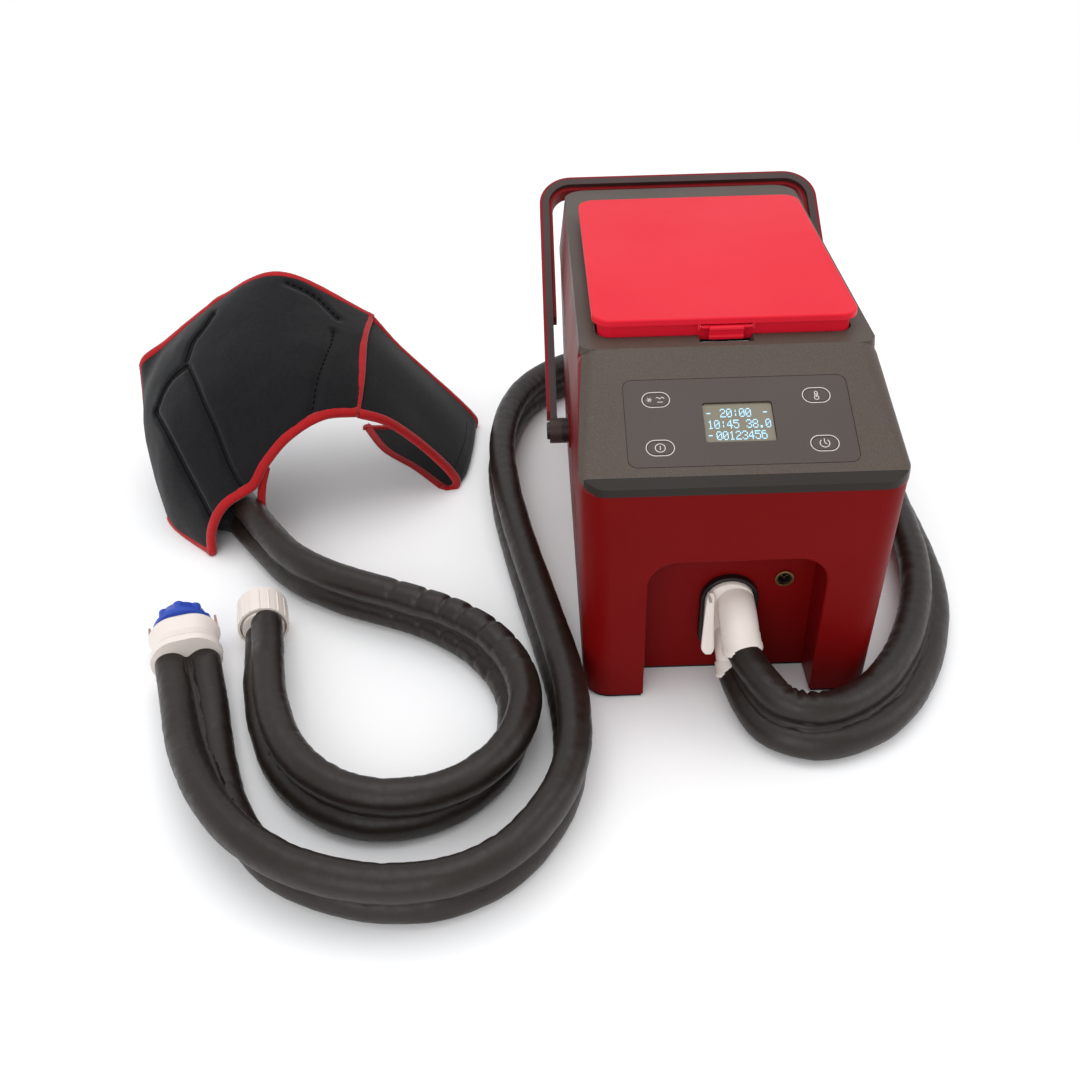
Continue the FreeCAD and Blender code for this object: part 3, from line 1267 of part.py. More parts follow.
# ---------------------------------------------------------------------------
def all_parts():
    parts = {
        "housing": housing, "base_plate": base_plate, "base_screws": base_screws,
        "case_screws": case_screws, "foot_ring": foot_ring, "top_cover": top_cover,
        "control_overlay": control_overlay, "display_window": display_window,
        "display_module": display_module, "control_board": control_board,
        "tact_switches": tact_switches, "board_screws": board_screws, "ice_tub": ice_tub,
        "tub_gasket": tub_gasket, "lid": lid, "lid_liner": lid_liner,
        "lid_hinge_pin": lid_hinge_pin, "lid_latch": lid_latch, "latch_pin": latch_pin,
        "handle_bail": handle_bail, "handle_grip": handle_grip,
        "pivot_bosses": lambda: both_sides(pivot_boss()),
        "pivot_screws": lambda: both_sides(pivot_screw()),
        "pivot_nuts": lambda: both_sides(pivot_nut()),
        "socket_bezel": socket_bezel, "socket_block": socket_block,
        "plug_body": plug_body, "plug_lever": plug_lever, "lever_pin": lever_pin,
        "jack_ring": jack_ring, "jack_insert": jack_insert, "jack_pins": jack_pins,
        "pump_motor": pump_motor, "pump_body": pump_body, "pump_impeller": pump_impeller,
        "heater_block": heater_block, "tube_suction": tube_suction,
        "tube_pressure": tube_pressure, "tube_supply": tube_supply,
        "tube_return": tube_return, "machine_hose": machine_hose,
        "connector_body": connector_body, "connector_collar": connector_collar,
        "connector_clips": connector_clips, "wrap_hose": wrap_hose,
        "coupling_core": coupling_core, "coupling_ring": coupling_ring,
        "wrap_panel": wrap_panel, "wrap_strap": wrap_strap, "wrap_inlet": wrap_inlet,
    }
    for name, spot in key_spots().items():
        parts[name] = lambda spot=spot: key(*spot)
    return parts


os.makedirs("parts", exist_ok=True)
for name, make in all_parts().items():
    shape = make()
    shape.exportStep("parts/%s.step" % name)
    b = shape.BoundBox
    print("%-16s solids %d valid %s vol %.0f  x %.1f %.1f y %.1f %.1f z %.2f %.1f" % (
        name, len(shape.Solids), shape.isValid(), shape.Volume,
        b.XMin, b.XMax, b.YMin, b.YMax, b.ZMin, b.ZMax))
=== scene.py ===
"""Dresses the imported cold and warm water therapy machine, its twin hoses and its shoulder wrap."""

import logging
import math
from dataclasses import dataclass
from enum import Enum
from functools import partial

import bpy
import numpy as np
from mathutils import Matrix, Vector, noise
from mathutils.bvhtree import BVHTree


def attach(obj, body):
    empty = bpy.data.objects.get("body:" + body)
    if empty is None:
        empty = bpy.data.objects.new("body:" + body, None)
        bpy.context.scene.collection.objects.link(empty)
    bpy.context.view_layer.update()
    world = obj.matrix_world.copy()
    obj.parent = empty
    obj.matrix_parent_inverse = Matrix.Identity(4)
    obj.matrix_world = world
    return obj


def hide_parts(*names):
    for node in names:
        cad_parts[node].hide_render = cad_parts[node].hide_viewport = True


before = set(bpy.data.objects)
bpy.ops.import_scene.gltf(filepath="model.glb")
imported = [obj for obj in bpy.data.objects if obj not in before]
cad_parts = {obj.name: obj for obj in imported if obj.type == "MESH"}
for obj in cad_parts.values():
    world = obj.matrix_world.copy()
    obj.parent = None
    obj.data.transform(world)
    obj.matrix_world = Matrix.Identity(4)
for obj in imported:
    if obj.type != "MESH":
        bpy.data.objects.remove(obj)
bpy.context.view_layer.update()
LOG = logging.getLogger("therapy_machine")
MM = 0.001
MACHINE = "machine"
CLOTH_REST = 0.0003  # the lowest that dented or filled cloth lies over the floor, in metres


class Thread(Enum):
    """What a row of stitches is sewn in, as (stitch length, pitch, thread radius) in metres."""

    FINE = (0.0025, 0.0038, 0.00034)
    SEAM = (0.0036, 0.0050, 0.00070)
    FOLD = (0.0042, 0.0036, 0.00050)


class Weave(Enum):
    """How a cloth's surface is made, as (cell size in metres, crosswise stretch)."""

    KNIT = (0.0011, 1.0)
    RIBBED = (0.0009, 0.35)
    COATED = (0.0016, 2.2)


# ---------------------------------------------------------------------------
# small tools
# ---------------------------------------------------------------------------
def linear(rgb: tuple[float, float, float]) -> tuple[float, float, float, float]:
    """Turns a display colour into the linear colour that a shader takes.

    Args:
        rgb: red, green and blue from 0 to 255.

    Returns:
        The linear colour with an alpha of one.
    """
    parts = []
    for value in rgb:
        share = value / 255.0
        parts.append(share / 12.92 if share <= 0.04045 else ((share + 0.055) / 1.055) ** 2.4)
    return (parts[0], parts[1], parts[2], 1.0)


def unit(rows: np.ndarray | list[float]) -> np.ndarray:
    """Scales a vector, or each row of an array, to length one."""
    return rows / np.maximum(np.linalg.norm(rows, axis=-1, keepdims=True), 1e-12)


def add_mesh(name: str, points: np.ndarray, faces: list[tuple[int, ...]],
             material: bpy.types.Material, body: str = MACHINE) -> bpy.types.Object:
    """Makes a smooth mesh piece that rides on a body.

    Args:
        name: the piece's name.
        points: one row of three numbers for each vertex, in metres.
        faces: vertex numbers of each face.
        material: its finish.
        body: the body that carries it.

    Returns:
        The new object.
    """
    mesh = bpy.data.meshes.new(name)
    mesh.from_pydata([tuple(float(x) for x in p) for p in points], [], faces)
    mesh.materials.append(material)
    mesh.polygons.foreach_set("use_smooth", [True] * len(mesh.polygons))
    mesh.update()
    piece = bpy.data.objects.new(name, mesh)
    bpy.context.scene.collection.objects.link(piece)
    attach(piece, body)
    return piece


def rows_of_points(piece: bpy.types.Object) -> np.ndarray:
    """Reads a mesh object's vertices as an array of rows."""
    flat = np.empty(len(piece.data.vertices) * 3)
    piece.data.vertices.foreach_get("co", flat)
    return flat.reshape(-1, 3)


def write_points(piece: bpy.types.Object, rows: np.ndarray) -> None:
    """Writes rows back as a mesh object's vertices."""
    piece.data.vertices.foreach_set("co", rows.reshape(-1))
    piece.data.update()


def rows_of_normals(piece: bpy.types.Object) -> np.ndarray:
    """Reads a mesh object's vertex normals as an array of rows."""
    flat = np.empty(len(piece.data.vertices) * 3)
    piece.data.vertex_normals.foreach_get("vector", flat)
    return flat.reshape(-1, 3)


def bridge(rings: int, around: int, first: int = 0, closed: bool = True) -> list[tuple[int, ...]]:
    """Lists the faces between neighbouring rings of points.

    Args:
        rings: how many rings there are.
        around: points in each ring.
        first: number of the first point.
        closed: whether each ring closes on itself.

    Returns:
        Four vertex numbers for each face.
    """
    faces = []
    for i in range(rings - 1):
        for j in range(around if closed else around - 1):
            k = (j + 1) % around
            a = first + i * around
            b = a + around
            faces.append((a + j, a + k, b + k, b + j))
    return faces


def caps(rings: int, around: int, first: int = 0) -> list[tuple[int, ...]]:
    """Lists the two end faces of a closed sweep."""
    start = tuple(first + j for j in reversed(range(around)))
    last = first + (rings - 1) * around
    return [start, tuple(last + j for j in range(around))]


def through(points: np.ndarray, count: int) -> np.ndarray:
    """Draws a smooth line through points and divides it evenly.

    Args:
        points: rows that the line passes through.
        count: how many points to give back.

    Returns:
        Rows at equal steps along the line.
    """
    p = np.asarray(points, float)
    ends = np.vstack([2 * p[0] - p[1], p, 2 * p[-1] - p[-2]])
    fine = []
    for i in range(1, len(ends) - 2):
        a, b, c, d = ends[i - 1:i + 3]
        for t in np.linspace(0.0, 1.0, 24, endpoint=False):
            fine.append(0.5 * (2 * b + (c - a) * t + (2 * a - 5 * b + 4 * c - d) * t ** 2
                               + (3 * b - a - 3 * c + d) * t ** 3))
    fine.append(p[-1])
    return evenly(np.array(fine), count)


def evenly(line: np.ndarray, count: int) -> np.ndarray:
    """Divides a fine line of points into equal steps.

    Args:
        line: points along the line, with any number of columns.
        count: how many points to give back.

    Returns:
        Rows at equal steps along the line.
    """
    step = np.linalg.norm(np.diff(line, axis=0), axis=1)
    along = np.concatenate([[0.0], np.cumsum(step)])
    spots = np.linspace(0.0, along[-1], count)
    return np.stack([np.interp(spots, along, line[:, k]) for k in range(line.shape[1])], axis=1)


def rounded(value: float, power: float) -> float:
    """Raises a number's size to a power and keeps its sign, for boxes with round corners."""
    return math.copysign(abs(value) ** power, value)


def tangents(line: np.ndarray) -> np.ndarray:
    """Gives the unit direction of travel at each point of a line."""
    return unit(np.gradient(line, axis=0))


def nurbs_line(name: str, points: tuple[tuple[float, float, float], ...]) -> np.ndarray:
    """Reads the line of a smooth spline that has the given control points.

    Args:
        name: name of the curve while it exists.
        points: control points in millimetres.

    Returns:
        The spline's own points, in metres.
    """
    curve = bpy.data.curves.new(name, "CURVE")
    curve.dimensions = "3D"
    curve.resolution_u = 14
    spline = curve.splines.new("NURBS")
    spline.points.add(len(points) - 1)
    for spot, (x, y, z) in zip(spline.points, points):
        spot.co = (x * MM, y * MM, z * MM, 1.0)
    spline.order_u = 3
    spline.use_endpoint_u = True
    holder = bpy.data.objects.new(name, curve)
    bpy.context.scene.collection.objects.link(holder)
    mesh = bpy.data.meshes.new_from_object(holder)
    line = np.array([tuple(v.co) for v in mesh.vertices])
    bpy.data.objects.remove(holder)
    bpy.data.curves.remove(curve)
    bpy.data.meshes.remove(mesh)
    return line


def wobble(x: float, y: float, z: float = 0.0) -> float:
    """Gives smooth noise from about minus one to one."""
    return noise.noise(Vector((x, y, z)))


# ---------------------------------------------------------------------------
# shader groups
# ---------------------------------------------------------------------------
MIX_UNDER, MIX_OVER, MIX_RESULT = 6, 7, 2  # the colour sockets of a Mix node


def feed(tree: bpy.types.NodeTree, value: object, socket: bpy.types.NodeSocket) -> None:
    """Gives an input its value.

    Args:
        tree: the tree that the input's node is in.
        value: another node's output, or the value itself.
        socket: the input.
    """
    if isinstance(value, bpy.types.NodeSocket):
        tree.links.new(value, socket)
    else:
        socket.default_value = value


def blend(tree: bpy.types.NodeTree, factor: object, under: object, over: object,
          way: str = "MIX") -> bpy.types.NodeSocket:
    """Mixes two colours in a node tree.

    Args:
        tree: the tree that gets the Mix node.
        factor: how much of the upper colour shows, as a socket or a number.
        under: the lower colour, as a socket or a linear colour.
        over: the upper colour, as a socket or a linear colour.
        way: how the two are blended.

    Returns:
        The socket with the mixed colour.
    """
    node = tree.nodes.new("ShaderNodeMix")
    node.data_type = "RGBA"
    node.blend_type = way
    feed(tree, factor, node.inputs["Factor"])
    feed(tree, under, node.inputs[MIX_UNDER])
    feed(tree, over, node.inputs[MIX_OVER])
    return node.outputs[MIX_RESULT]


def reckon(tree: bpy.types.NodeTree, kind: str, a: object, b: object) -> bpy.types.NodeSocket:
    """Joins two values by one piece of arithmetic in a node tree.

    Args:
        tree: the tree that gets the Math node.
        kind: the arithmetic.
        a: the first value, as a socket or a number.
        b: the second value, as a socket or a number.

    Returns:
        The socket with the result.
    """
    node = tree.nodes.new("ShaderNodeMath")
    node.operation = kind
    feed(tree, a, node.inputs[0])
    feed(tree, b, node.inputs[1])
    return node.outputs[0]


class Groups:
    """Builds each shared effect once and keeps it."""

    def __init__(self) -> None:
        """Starts with no group built."""
        self.made: dict[str, bpy.types.NodeTree] = {}

    def start(self, name: str, inputs: list[tuple[str, str, object]],
              outputs: list[tuple[str, str]]) -> bpy.types.NodeTree:
        """Makes an empty group with its sockets.

        Args:
            name: the group's name.
            inputs: name, socket type and default of each input.
            outputs: name and socket type of each output.

        Returns:
            The new node tree.
        """
        tree = bpy.data.node_groups.new(name, "ShaderNodeTree")
        for label, kind, default in inputs:
            socket = tree.interface.new_socket(name=label, in_out="INPUT", socket_type=kind)
            socket.default_value = default
        for label, kind in outputs:
            tree.interface.new_socket(name=label, in_out="OUTPUT", socket_type=kind)
        tree.nodes.new("NodeGroupInput").name = "in"
        tree.nodes.new("NodeGroupOutput").name = "out"
        self.made[name] = tree
        return tree

    def scale(self, tree: bpy.types.NodeTree) -> bpy.types.NodeSocket:
        """Turns a group's Size input into the scale of a texture.

        Args:
            tree: the group.

        Returns:
            The socket with one divided by the size.
        """
        return reckon(tree, "DIVIDE", 1.0, tree.nodes["in"].outputs["Size"])

    def grain(self) -> bpy.types.NodeTree:
        """Moulded grain: fine spark-eroded pits with a softer wave under them.

        Returns:
            A group with Size in metres and outputs Height and Mask.
        """
        if "Moulded grain" in self.made:
            return self.made["Moulded grain"]
        tree = self.start("Moulded grain", [("Size", "NodeSocketFloat", 0.001)],
                          [("Height", "NodeSocketFloat"), ("Mask", "NodeSocketFloat")])
        n, link = tree.nodes, tree.links
        where = n.new("ShaderNodeTexCoord")
        pits = n.new("ShaderNodeTexNoise")
        pits.inputs["Detail"].default_value = 2.0
        pits.inputs["Roughness"].default_value = 0.6
        link.new(where.outputs["Object"], pits.inputs["Vector"])
        link.new(self.scale(tree), pits.inputs["Scale"])
        link.new(pits.outputs["Fac"], n["out"].inputs["Height"])
        sharp = n.new("ShaderNodeMapRange")
        sharp.inputs["From Min"].default_value = 0.52
        sharp.inputs["From Max"].default_value = 0.72
        link.new(pits.outputs["Fac"], sharp.inputs["Value"])
        link.new(sharp.outputs["Result"], n["out"].inputs["Mask"])
        return tree

    def mottle(self) -> bpy.types.NodeTree:
        """Slow variation of colour and gloss.

        Returns:
            A group with Colour, Shade, Size and Amount, and outputs Colour and Value.
        """
        if "Mottle" in self.made:
            return self.made["Mottle"]
        tree = self.start("Mottle", [("Colour", "NodeSocketColor", (0.5, 0.5, 0.5, 1.0)),
                                     ("Shade", "NodeSocketColor", (0.4, 0.4, 0.4, 1.0)),
                                     ("Size", "NodeSocketFloat", 0.03),
                                     ("Amount", "NodeSocketFloat", 0.5)],
                          [("Colour", "NodeSocketColor"), ("Value", "NodeSocketFloat")])
        n, link = tree.nodes, tree.links
        where = n.new("ShaderNodeTexCoord")
        cloud = n.new("ShaderNodeTexNoise")
        cloud.inputs["Detail"].default_value = 4.0
        link.new(where.outputs["Object"], cloud.inputs["Vector"])
        link.new(self.scale(tree), cloud.inputs["Scale"])
        given = n["in"].outputs
        part = reckon(tree, "MULTIPLY", cloud.outputs["Fac"], given["Amount"])
        link.new(blend(tree, part, given["Colour"], given["Shade"]), n["out"].inputs["Colour"])
        link.new(cloud.outputs["Fac"], n["out"].inputs["Value"])
        return tree

    def rising_wall(self) -> bpy.types.NodeTree:
        """Marks the outer walls below a rim that follows the sloping top, and a band along the front
        lip for painted shade.

        Returns:
            A group with Rim, Foot, Front, Rise, Side, Rear and Band in metres, and outputs
            Mask for the walls and, as its second output, the front lip's band of painted shade.
        """
        if "Rising wall" in self.made:
            return self.made["Rising wall"]
        tree = self.start("Rising wall", [("Rim", "NodeSocketFloat", 0.2),
                                          ("Foot", "NodeSocketFloat", 0.17),
                                          ("Front", "NodeSocketFloat", -0.2),
                                          ("Rise", "NodeSocketFloat", 0.4),
                                          ("Side", "NodeSocketFloat", 0.09),
                                          ("Rear", "NodeSocketFloat", 0.19),
                                          ("Band", "NodeSocketFloat", 0.004)],
                          [("Mask", "NodeSocketFloat"), ("PaintedShade", "NodeSocketFloat")])
        n, link = tree.nodes, tree.links
        where = n.new("ShaderNodeTexCoord")
        split = n.new("ShaderNodeSeparateXYZ")
        link.new(where.outputs["Object"], split.inputs[0])
        given = n["in"].outputs
        step = partial(reckon, tree)
        back = step("SUBTRACT", split.outputs["Y"], given["Front"])
        slope = step("ADD", step("MULTIPLY", back, given["Rise"]), given["Foot"])
        line = step("MINIMUM", slope, given["Rim"])
        under = step("LESS_THAN", split.outputs["Z"], line)
        wide = step("MULTIPLY", split.outputs["X"], split.outputs["X"])
        side = step("GREATER_THAN", wide, step("MULTIPLY", given["Side"], given["Side"]))
        rear = step("GREATER_THAN", split.outputs["Y"], given["Rear"])
        around = step("MAXIMUM", side, rear)
        link.new(step("MULTIPLY", under, around), n["out"].inputs["Mask"])
        # the front lip's band, which the cover's material darkens as painted shade
        low = step("LESS_THAN", split.outputs["Z"], step("ADD", line, given["Band"]))
        ahead = step("LESS_THAN", back, given["Band"])
        link.new(step("MULTIPLY", low, ahead), n["out"].inputs["PaintedShade"])
        return tree

    def cloth(self) -> bpy.types.NodeTree:
        """Woven or knitted cells, stretched across where the cloth is ribbed or gathered.

        Returns:
            A group with Size and Stretch, and outputs Height and Mask.
        """
        if "Cloth cells" in self.made:
            return self.made["Cloth cells"]
        tree = self.start("Cloth cells", [("Size", "NodeSocketFloat", 0.001),
                                          ("Stretch", "NodeSocketFloat", 1.0)],
                          [("Height", "NodeSocketFloat"), ("Mask", "NodeSocketFloat")])
        n, link = tree.nodes, tree.links
        where = n.new("ShaderNodeUVMap")
        where.uv_map = "lay"
        split = n.new("ShaderNodeSeparateXYZ")
        link.new(where.outputs["UV"], split.inputs[0])
        across = reckon(tree, "DIVIDE", split.outputs["X"], n["in"].outputs["Stretch"])
        join = n.new("ShaderNodeCombineXYZ")
        link.new(across, join.inputs["X"])
        link.new(split.outputs["Y"], join.inputs["Y"])
        cells = n.new("ShaderNodeTexVoronoi")
        cells.feature = "SMOOTH_F1"
        cells.inputs["Smoothness"].default_value = 0.7
        link.new(join.outputs[0], cells.inputs["Vector"])
        link.new(self.scale(tree), cells.inputs["Scale"])
        link.new(reckon(tree, "SUBTRACT", 1.0, cells.outputs["Distance"]),
                 n["out"].inputs["Height"])
        fuzz = n.new("ShaderNodeTexNoise")
        fuzz.inputs["Detail"].default_value = 3.0
        fuzz.inputs["Scale"].default_value = 180.0
        link.new(where.outputs["UV"], fuzz.inputs["Vector"])
        link.new(fuzz.outputs["Fac"], n["out"].inputs["Mask"])
        return tree


GROUPS = Groups()


# ---------------------------------------------------------------------------
# finishes
# ---------------------------------------------------------------------------
def blank(name: str) -> tuple[bpy.types.Material, bpy.types.Node]:
    """Makes a material with its principled shader.

    Args:
        name: the material's name.

    Returns:
        The material and its shader node.
    """
    material = bpy.data.materials.new(name)
    material.use_nodes = True
    return material, material.node_tree.nodes["Principled BSDF"]


def place(material: bpy.types.Material, group: bpy.types.NodeTree,
          **values: object) -> bpy.types.Node:
    """Puts a shared group into a material with its own values.

    Args:
        material: the material that gets it.
        group: the shared effect.
        **values: a value for each named input.

    Returns:
        The group's node.
    """
    node = material.node_tree.nodes.new("ShaderNodeGroup")
    node.node_tree = group
    for label, value in values.items():
        node.inputs[label].default_value = value
    return node


def raise_surface(material: bpy.types.Material, shader: bpy.types.Node,
                  height: bpy.types.NodeSocket, depth: float) -> None:
    """Feeds a height into the shader's normal.

    Args:
        material: the material.
        shader: its principled shader.
        height: the socket that gives the height.
        depth: how deep the relief is, in metres.
    """
    bump = material.node_tree.nodes.new("ShaderNodeBump")
    bump.inputs["Distance"].default_value = depth
    bump.inputs["Strength"].default_value = 1.0
    material.node_tree.links.new(height, bump.inputs["Height"])
    material.node_tree.links.new(bump.outputs["Normal"], shader.inputs["Normal"])


def vary_roughness(material: bpy.types.Material, shader: bpy.types.Node,
                   value: bpy.types.NodeSocket, low: float, high: float) -> None:
    """Lets the gloss drift between two roughnesses over the surface.

    Args:
        material: the material.
        shader: its principled shader.
        value: a value from about 0.3 to 0.7 that changes over the surface.
        low: the glossiest roughness.
        high: the dullest roughness.
    """
    span = material.node_tree.nodes.new("ShaderNodeMapRange")
    span.inputs["From Min"].default_value = 0.3
    span.inputs["From Max"].default_value = 0.7
    span.inputs["To Min"].default_value = low
    span.inputs["To Max"].default_value = high
    material.node_tree.links.new(value, span.inputs["Value"])
    material.node_tree.links.new(span.outputs["Result"], shader.inputs["Roughness"])


@dataclass(frozen=True)
class Moulded:
    """A moulded, painted or cast surface."""

    name: str
    colour: tuple[float, float, float]
    shade: tuple[float, float, float]
    roughness: float = 0.42
    drift: float = 0.06
    metallic: float = 0.0
    specular: float = 0.5
    coat: float = 0.0
    grain: float = 0.0011
    depth: float = 0.00003
    patch: float = 0.05
    amount: float = 0.6

    def make(self) -> bpy.types.Material:
        """Builds the material.

        Returns:
            The finished material.
        """
        material, shader = blank(self.name)
        tone = place(material, GROUPS.mottle(), Colour=linear(self.colour),
                     Shade=linear(self.shade), Size=self.patch, Amount=self.amount)
        pits = place(material, GROUPS.grain(), Size=self.grain)
        link = material.node_tree.links
        link.new(tone.outputs["Colour"], shader.inputs["Base Color"])
        vary_roughness(material, shader, tone.outputs["Value"],
                       self.roughness - self.drift, self.roughness + self.drift)
        raise_surface(material, shader, pits.outputs["Height"], self.depth)
        shader.inputs["Metallic"].default_value = self.metallic
        shader.inputs["Specular IOR Level"].default_value = self.specular
        shader.inputs["Coat Weight"].default_value = self.coat
        shader.inputs["Coat Roughness"].default_value = 0.25
        return material


@dataclass(frozen=True)
class WallPaint:
    """Paint on a cover's outer walls under a rising rim, and painted shade on its front lip, in
    metres.
    """

    colour: tuple[float, float, float]
    rim: float = 0.2179
    foot: float = 0.1747
    front: float = -0.1978
    rise: float = 0.4264
    side: float = 0.0935
    rear: float = 0.188
    # height of the front lip's band of painted shade, and the share of the cover's colour left there
    lip: float = 0.0080
    lip_painted_shade: float = 0.5


@dataclass(frozen=True)
class Speckled:
    """A dark cover with a fine bright fleck in its texture."""

    name: str
    colour: tuple[float, float, float]
    fleck: tuple[float, float, float]
    roughness: float = 0.4
    specular: float = 0.3
    grain: float = 0.0005
    depth: float = 0.00003
    patch: float = 0.07
    amount: float = 0.8
    shade: float = 0.93
    glossier: float = 0.04
    duller: float = 0.05
    wall: WallPaint | None = None

    def make(self) -> bpy.types.Material:
        """Builds the material; wall paint covers the outer walls below the rim.
        The front lip is darkened as painted shade.

        Returns:
            The finished material.
        """
        material, shader = blank(self.name)
        pits = place(material, GROUPS.grain(), Size=self.grain)
        shade = linear(tuple(self.shade * c for c in self.colour))
        tone = place(material, GROUPS.mottle(), Colour=linear(self.colour), Shade=shade,
                     Size=self.patch, Amount=self.amount)
        tree = material.node_tree
        colour = blend(tree, pits.outputs["Mask"], tone.outputs["Colour"], linear(self.fleck))
        if self.wall:
            paint = self.wall
            walls = place(material, GROUPS.rising_wall(), Rim=paint.rim, Foot=paint.foot,
                          Front=paint.front, Rise=paint.rise, Side=paint.side, Rear=paint.rear,
                          Band=paint.lip)
            # painted shade: the front lip is darkened to a share of the cover's colour
            lip = linear(tuple(paint.lip_painted_shade * c for c in self.colour))
            colour = blend(tree, walls.outputs["PaintedShade"], colour, lip)
            colour = blend(tree, walls.outputs["Mask"], colour, linear(paint.colour))
        tree.links.new(colour, shader.inputs["Base Color"])
        vary_roughness(material, shader, tone.outputs["Value"], self.roughness - self.glossier,
                       self.roughness + self.duller)
        raise_surface(material, shader, pits.outputs["Height"], self.depth)
        shader.inputs["Specular IOR Level"].default_value = self.specular
        return material


@dataclass(frozen=True)
class Cloth:
    """A fabric, tape or coated sleeve laid by its own length and width."""

    name: str
    colour: tuple[float, float, float]
    shade: tuple[float, float, float]
    weave: Weave
    roughness: float = 0.85
    depth: float = 0.00015
    sheen: float = 0.3
    specular: float = 0.25
    # how much painted shade darkens the low parts of the cells
    hollow_shade: float = 0.35
    patch: float = 0.012
    amount: float = 0.9
    drift: float = 0.07

    def make(self) -> bpy.types.Material:
        """Builds the material.

        Returns:
            The finished material.
        """
        material, shader = blank(self.name)
        size, stretch = self.weave.value
        cells = place(material, GROUPS.cloth(), Size=size, Stretch=stretch)
        tone = place(material, GROUPS.mottle(), Colour=linear(self.colour),
                     Shade=linear(self.shade), Size=self.patch, Amount=self.amount)
        # painted shade: the colour is darkened where the cells' relief is low
        colour = blend(material.node_tree, self.hollow_shade, tone.outputs["Colour"],
                       cells.outputs["Height"], "MULTIPLY")
        material.node_tree.links.new(colour, shader.inputs["Base Color"])
        vary_roughness(material, shader, cells.outputs["Mask"], self.roughness - self.drift,
                       min(1.0, self.roughness + self.drift))
        raise_surface(material, shader, cells.outputs["Height"], self.depth)
        shader.inputs["Sheen Weight"].default_value = self.sheen
        shader.inputs["Sheen Roughness"].default_value = 0.45
        shader.inputs["Specular IOR Level"].default_value = self.specular
        return material


@dataclass(frozen=True)
class Glow:
    """Lit segments of a display."""

    name: str
    colour: tuple[float, float, float]
    strength: float = 0.7
    patch: float = 0.002
    amount: float = 0.7
    shade: float = 0.86

    def make(self) -> bpy.types.Material:
        """Builds the material.

        Returns:
            The finished material.
        """
        material, shader = blank(self.name)
        shade = linear(tuple(self.shade * c for c in self.colour))
        tone = place(material, GROUPS.mottle(), Colour=linear(self.colour), Shade=shade,
                     Size=self.patch, Amount=self.amount)
        link = material.node_tree.links
        link.new(tone.outputs["Colour"], shader.inputs["Base Color"])
        link.new(tone.outputs["Colour"], shader.inputs["Emission Color"])
        shader.inputs["Emission Strength"].default_value = self.strength
        shader.inputs["Roughness"].default_value = 0.3
        return material


class Palette:
    """Every finish of the object, each built when it is first asked for."""

    FINISHES = (
        Moulded("housing_red", (114, 9, 10), (103, 7, 8), 0.40, specular=0.06),
        Speckled("cover_grey", (78, 68, 61), (102, 92, 84), specular=0.18,
                 wall=WallPaint((108, 7, 9))),
        Speckled("overlay_grey", (78, 69, 64), (84, 75, 70), roughness=0.5, depth=0.00001,
                 specular=0.2),
        Moulded("key_grey", (80, 71, 66), (74, 66, 61), 0.5, specular=0.2),
        Moulded("lid_red", (221, 25, 47), (215, 22, 43), 0.40, specular=0.16, patch=0.09),
        Moulded("grip_red", (134, 14, 22), (116, 10, 18), 0.55, specular=0.2, depth=0.00006),
        Moulded("bail_grey", (64, 47, 45), (54, 40, 38), 0.42, specular=0.25, depth=0.00004),
        Moulded("foot_rubber", (34, 30, 30), (26, 23, 23), 0.8, specular=0.2, depth=0.0001),
        Moulded("dark_plastic", (30, 22, 22), (24, 18, 18), 0.36, specular=0.3),
        Moulded("screw_dark", (58, 44, 42), (44, 34, 33), 0.35, metallic=0.6, grain=0.0005),
        Moulded("steel", (186, 184, 180), (150, 148, 146), 0.28, metallic=1.0, grain=0.0005),
        Moulded("brass", (206, 168, 112), (176, 134, 84), 0.26, metallic=1.0, grain=0.0005),
        Moulded("window", (120, 113, 96), (113, 106, 90), 0.2, specular=0.35, depth=0.000003),
        Moulded("display", (60, 58, 56), (50, 48, 46), 0.3),
        Moulded("board_green", (26, 92, 52), (20, 74, 42), 0.35, coat=0.3, grain=0.002),
        Moulded("tub_white", (232, 232, 228), (220, 221, 217), 0.36),
        Moulded("white_plastic", (232, 222, 214), (222, 210, 201), 0.38, specular=0.35),
        Moulded("blue_plastic", (36, 74, 178), (28, 58, 156), 0.38, specular=0.35),
        Moulded("aluminium", (196, 198, 200), (170, 172, 176), 0.35, metallic=1.0),
        Moulded("silicone", (214, 216, 214), (196, 199, 198), 0.5),
        Moulded("print_white", (226, 218, 212), (206, 198, 192), 0.6, specular=0.2),
        Moulded("clip_metal", (196, 150, 142), (150, 104, 100), 0.3, metallic=0.8),
        Moulded("thread_black", (7, 7, 8), (4, 4, 5), 0.8, specular=0.1),
        Moulded("thread_red", (112, 10, 16), (90, 8, 12), 0.8, specular=0.1),
        Glow("display_light", (172, 222, 246)),
        Cloth("hose_sleeve", (38, 28, 21), (27, 20, 15), Weave.COATED, 0.42, 0.00007, 0.0, 0.4),
        Cloth("neoprene", (26, 26, 28), (20, 20, 22), Weave.KNIT, 0.85, 0.00018, 0.13, 0.16),
        Cloth("binding_red", (192, 22, 27), (168, 16, 21), Weave.RIBBED, 0.75, 0.00016, 0.2, 0.2),
    )

    def __init__(self) -> None:
        """Starts with no material built."""
        self.made: dict[str, bpy.types.Material] = {}

    def get(self, name: str) -> bpy.types.Material:
        """Gives a finish's material, and builds it on first use.

        Args:
            name: the finish's name.

        Returns:
            The material.
        """
        if name not in self.made:
            finish = next(f for f in self.FINISHES if f.name == name)
            self.made[name] = finish.make()
        return self.made[name]


PALETTE = Palette()


def dress(finish: str, *nodes: str) -> None:
    """Gives fixed pieces of the frame their finish.

    Args:
        finish: the finish's name.
        *nodes: names of the pieces.
    """
    for name in nodes:
        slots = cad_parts[name].data.materials
        slots.clear()
        slots.append(PALETTE.get(finish))


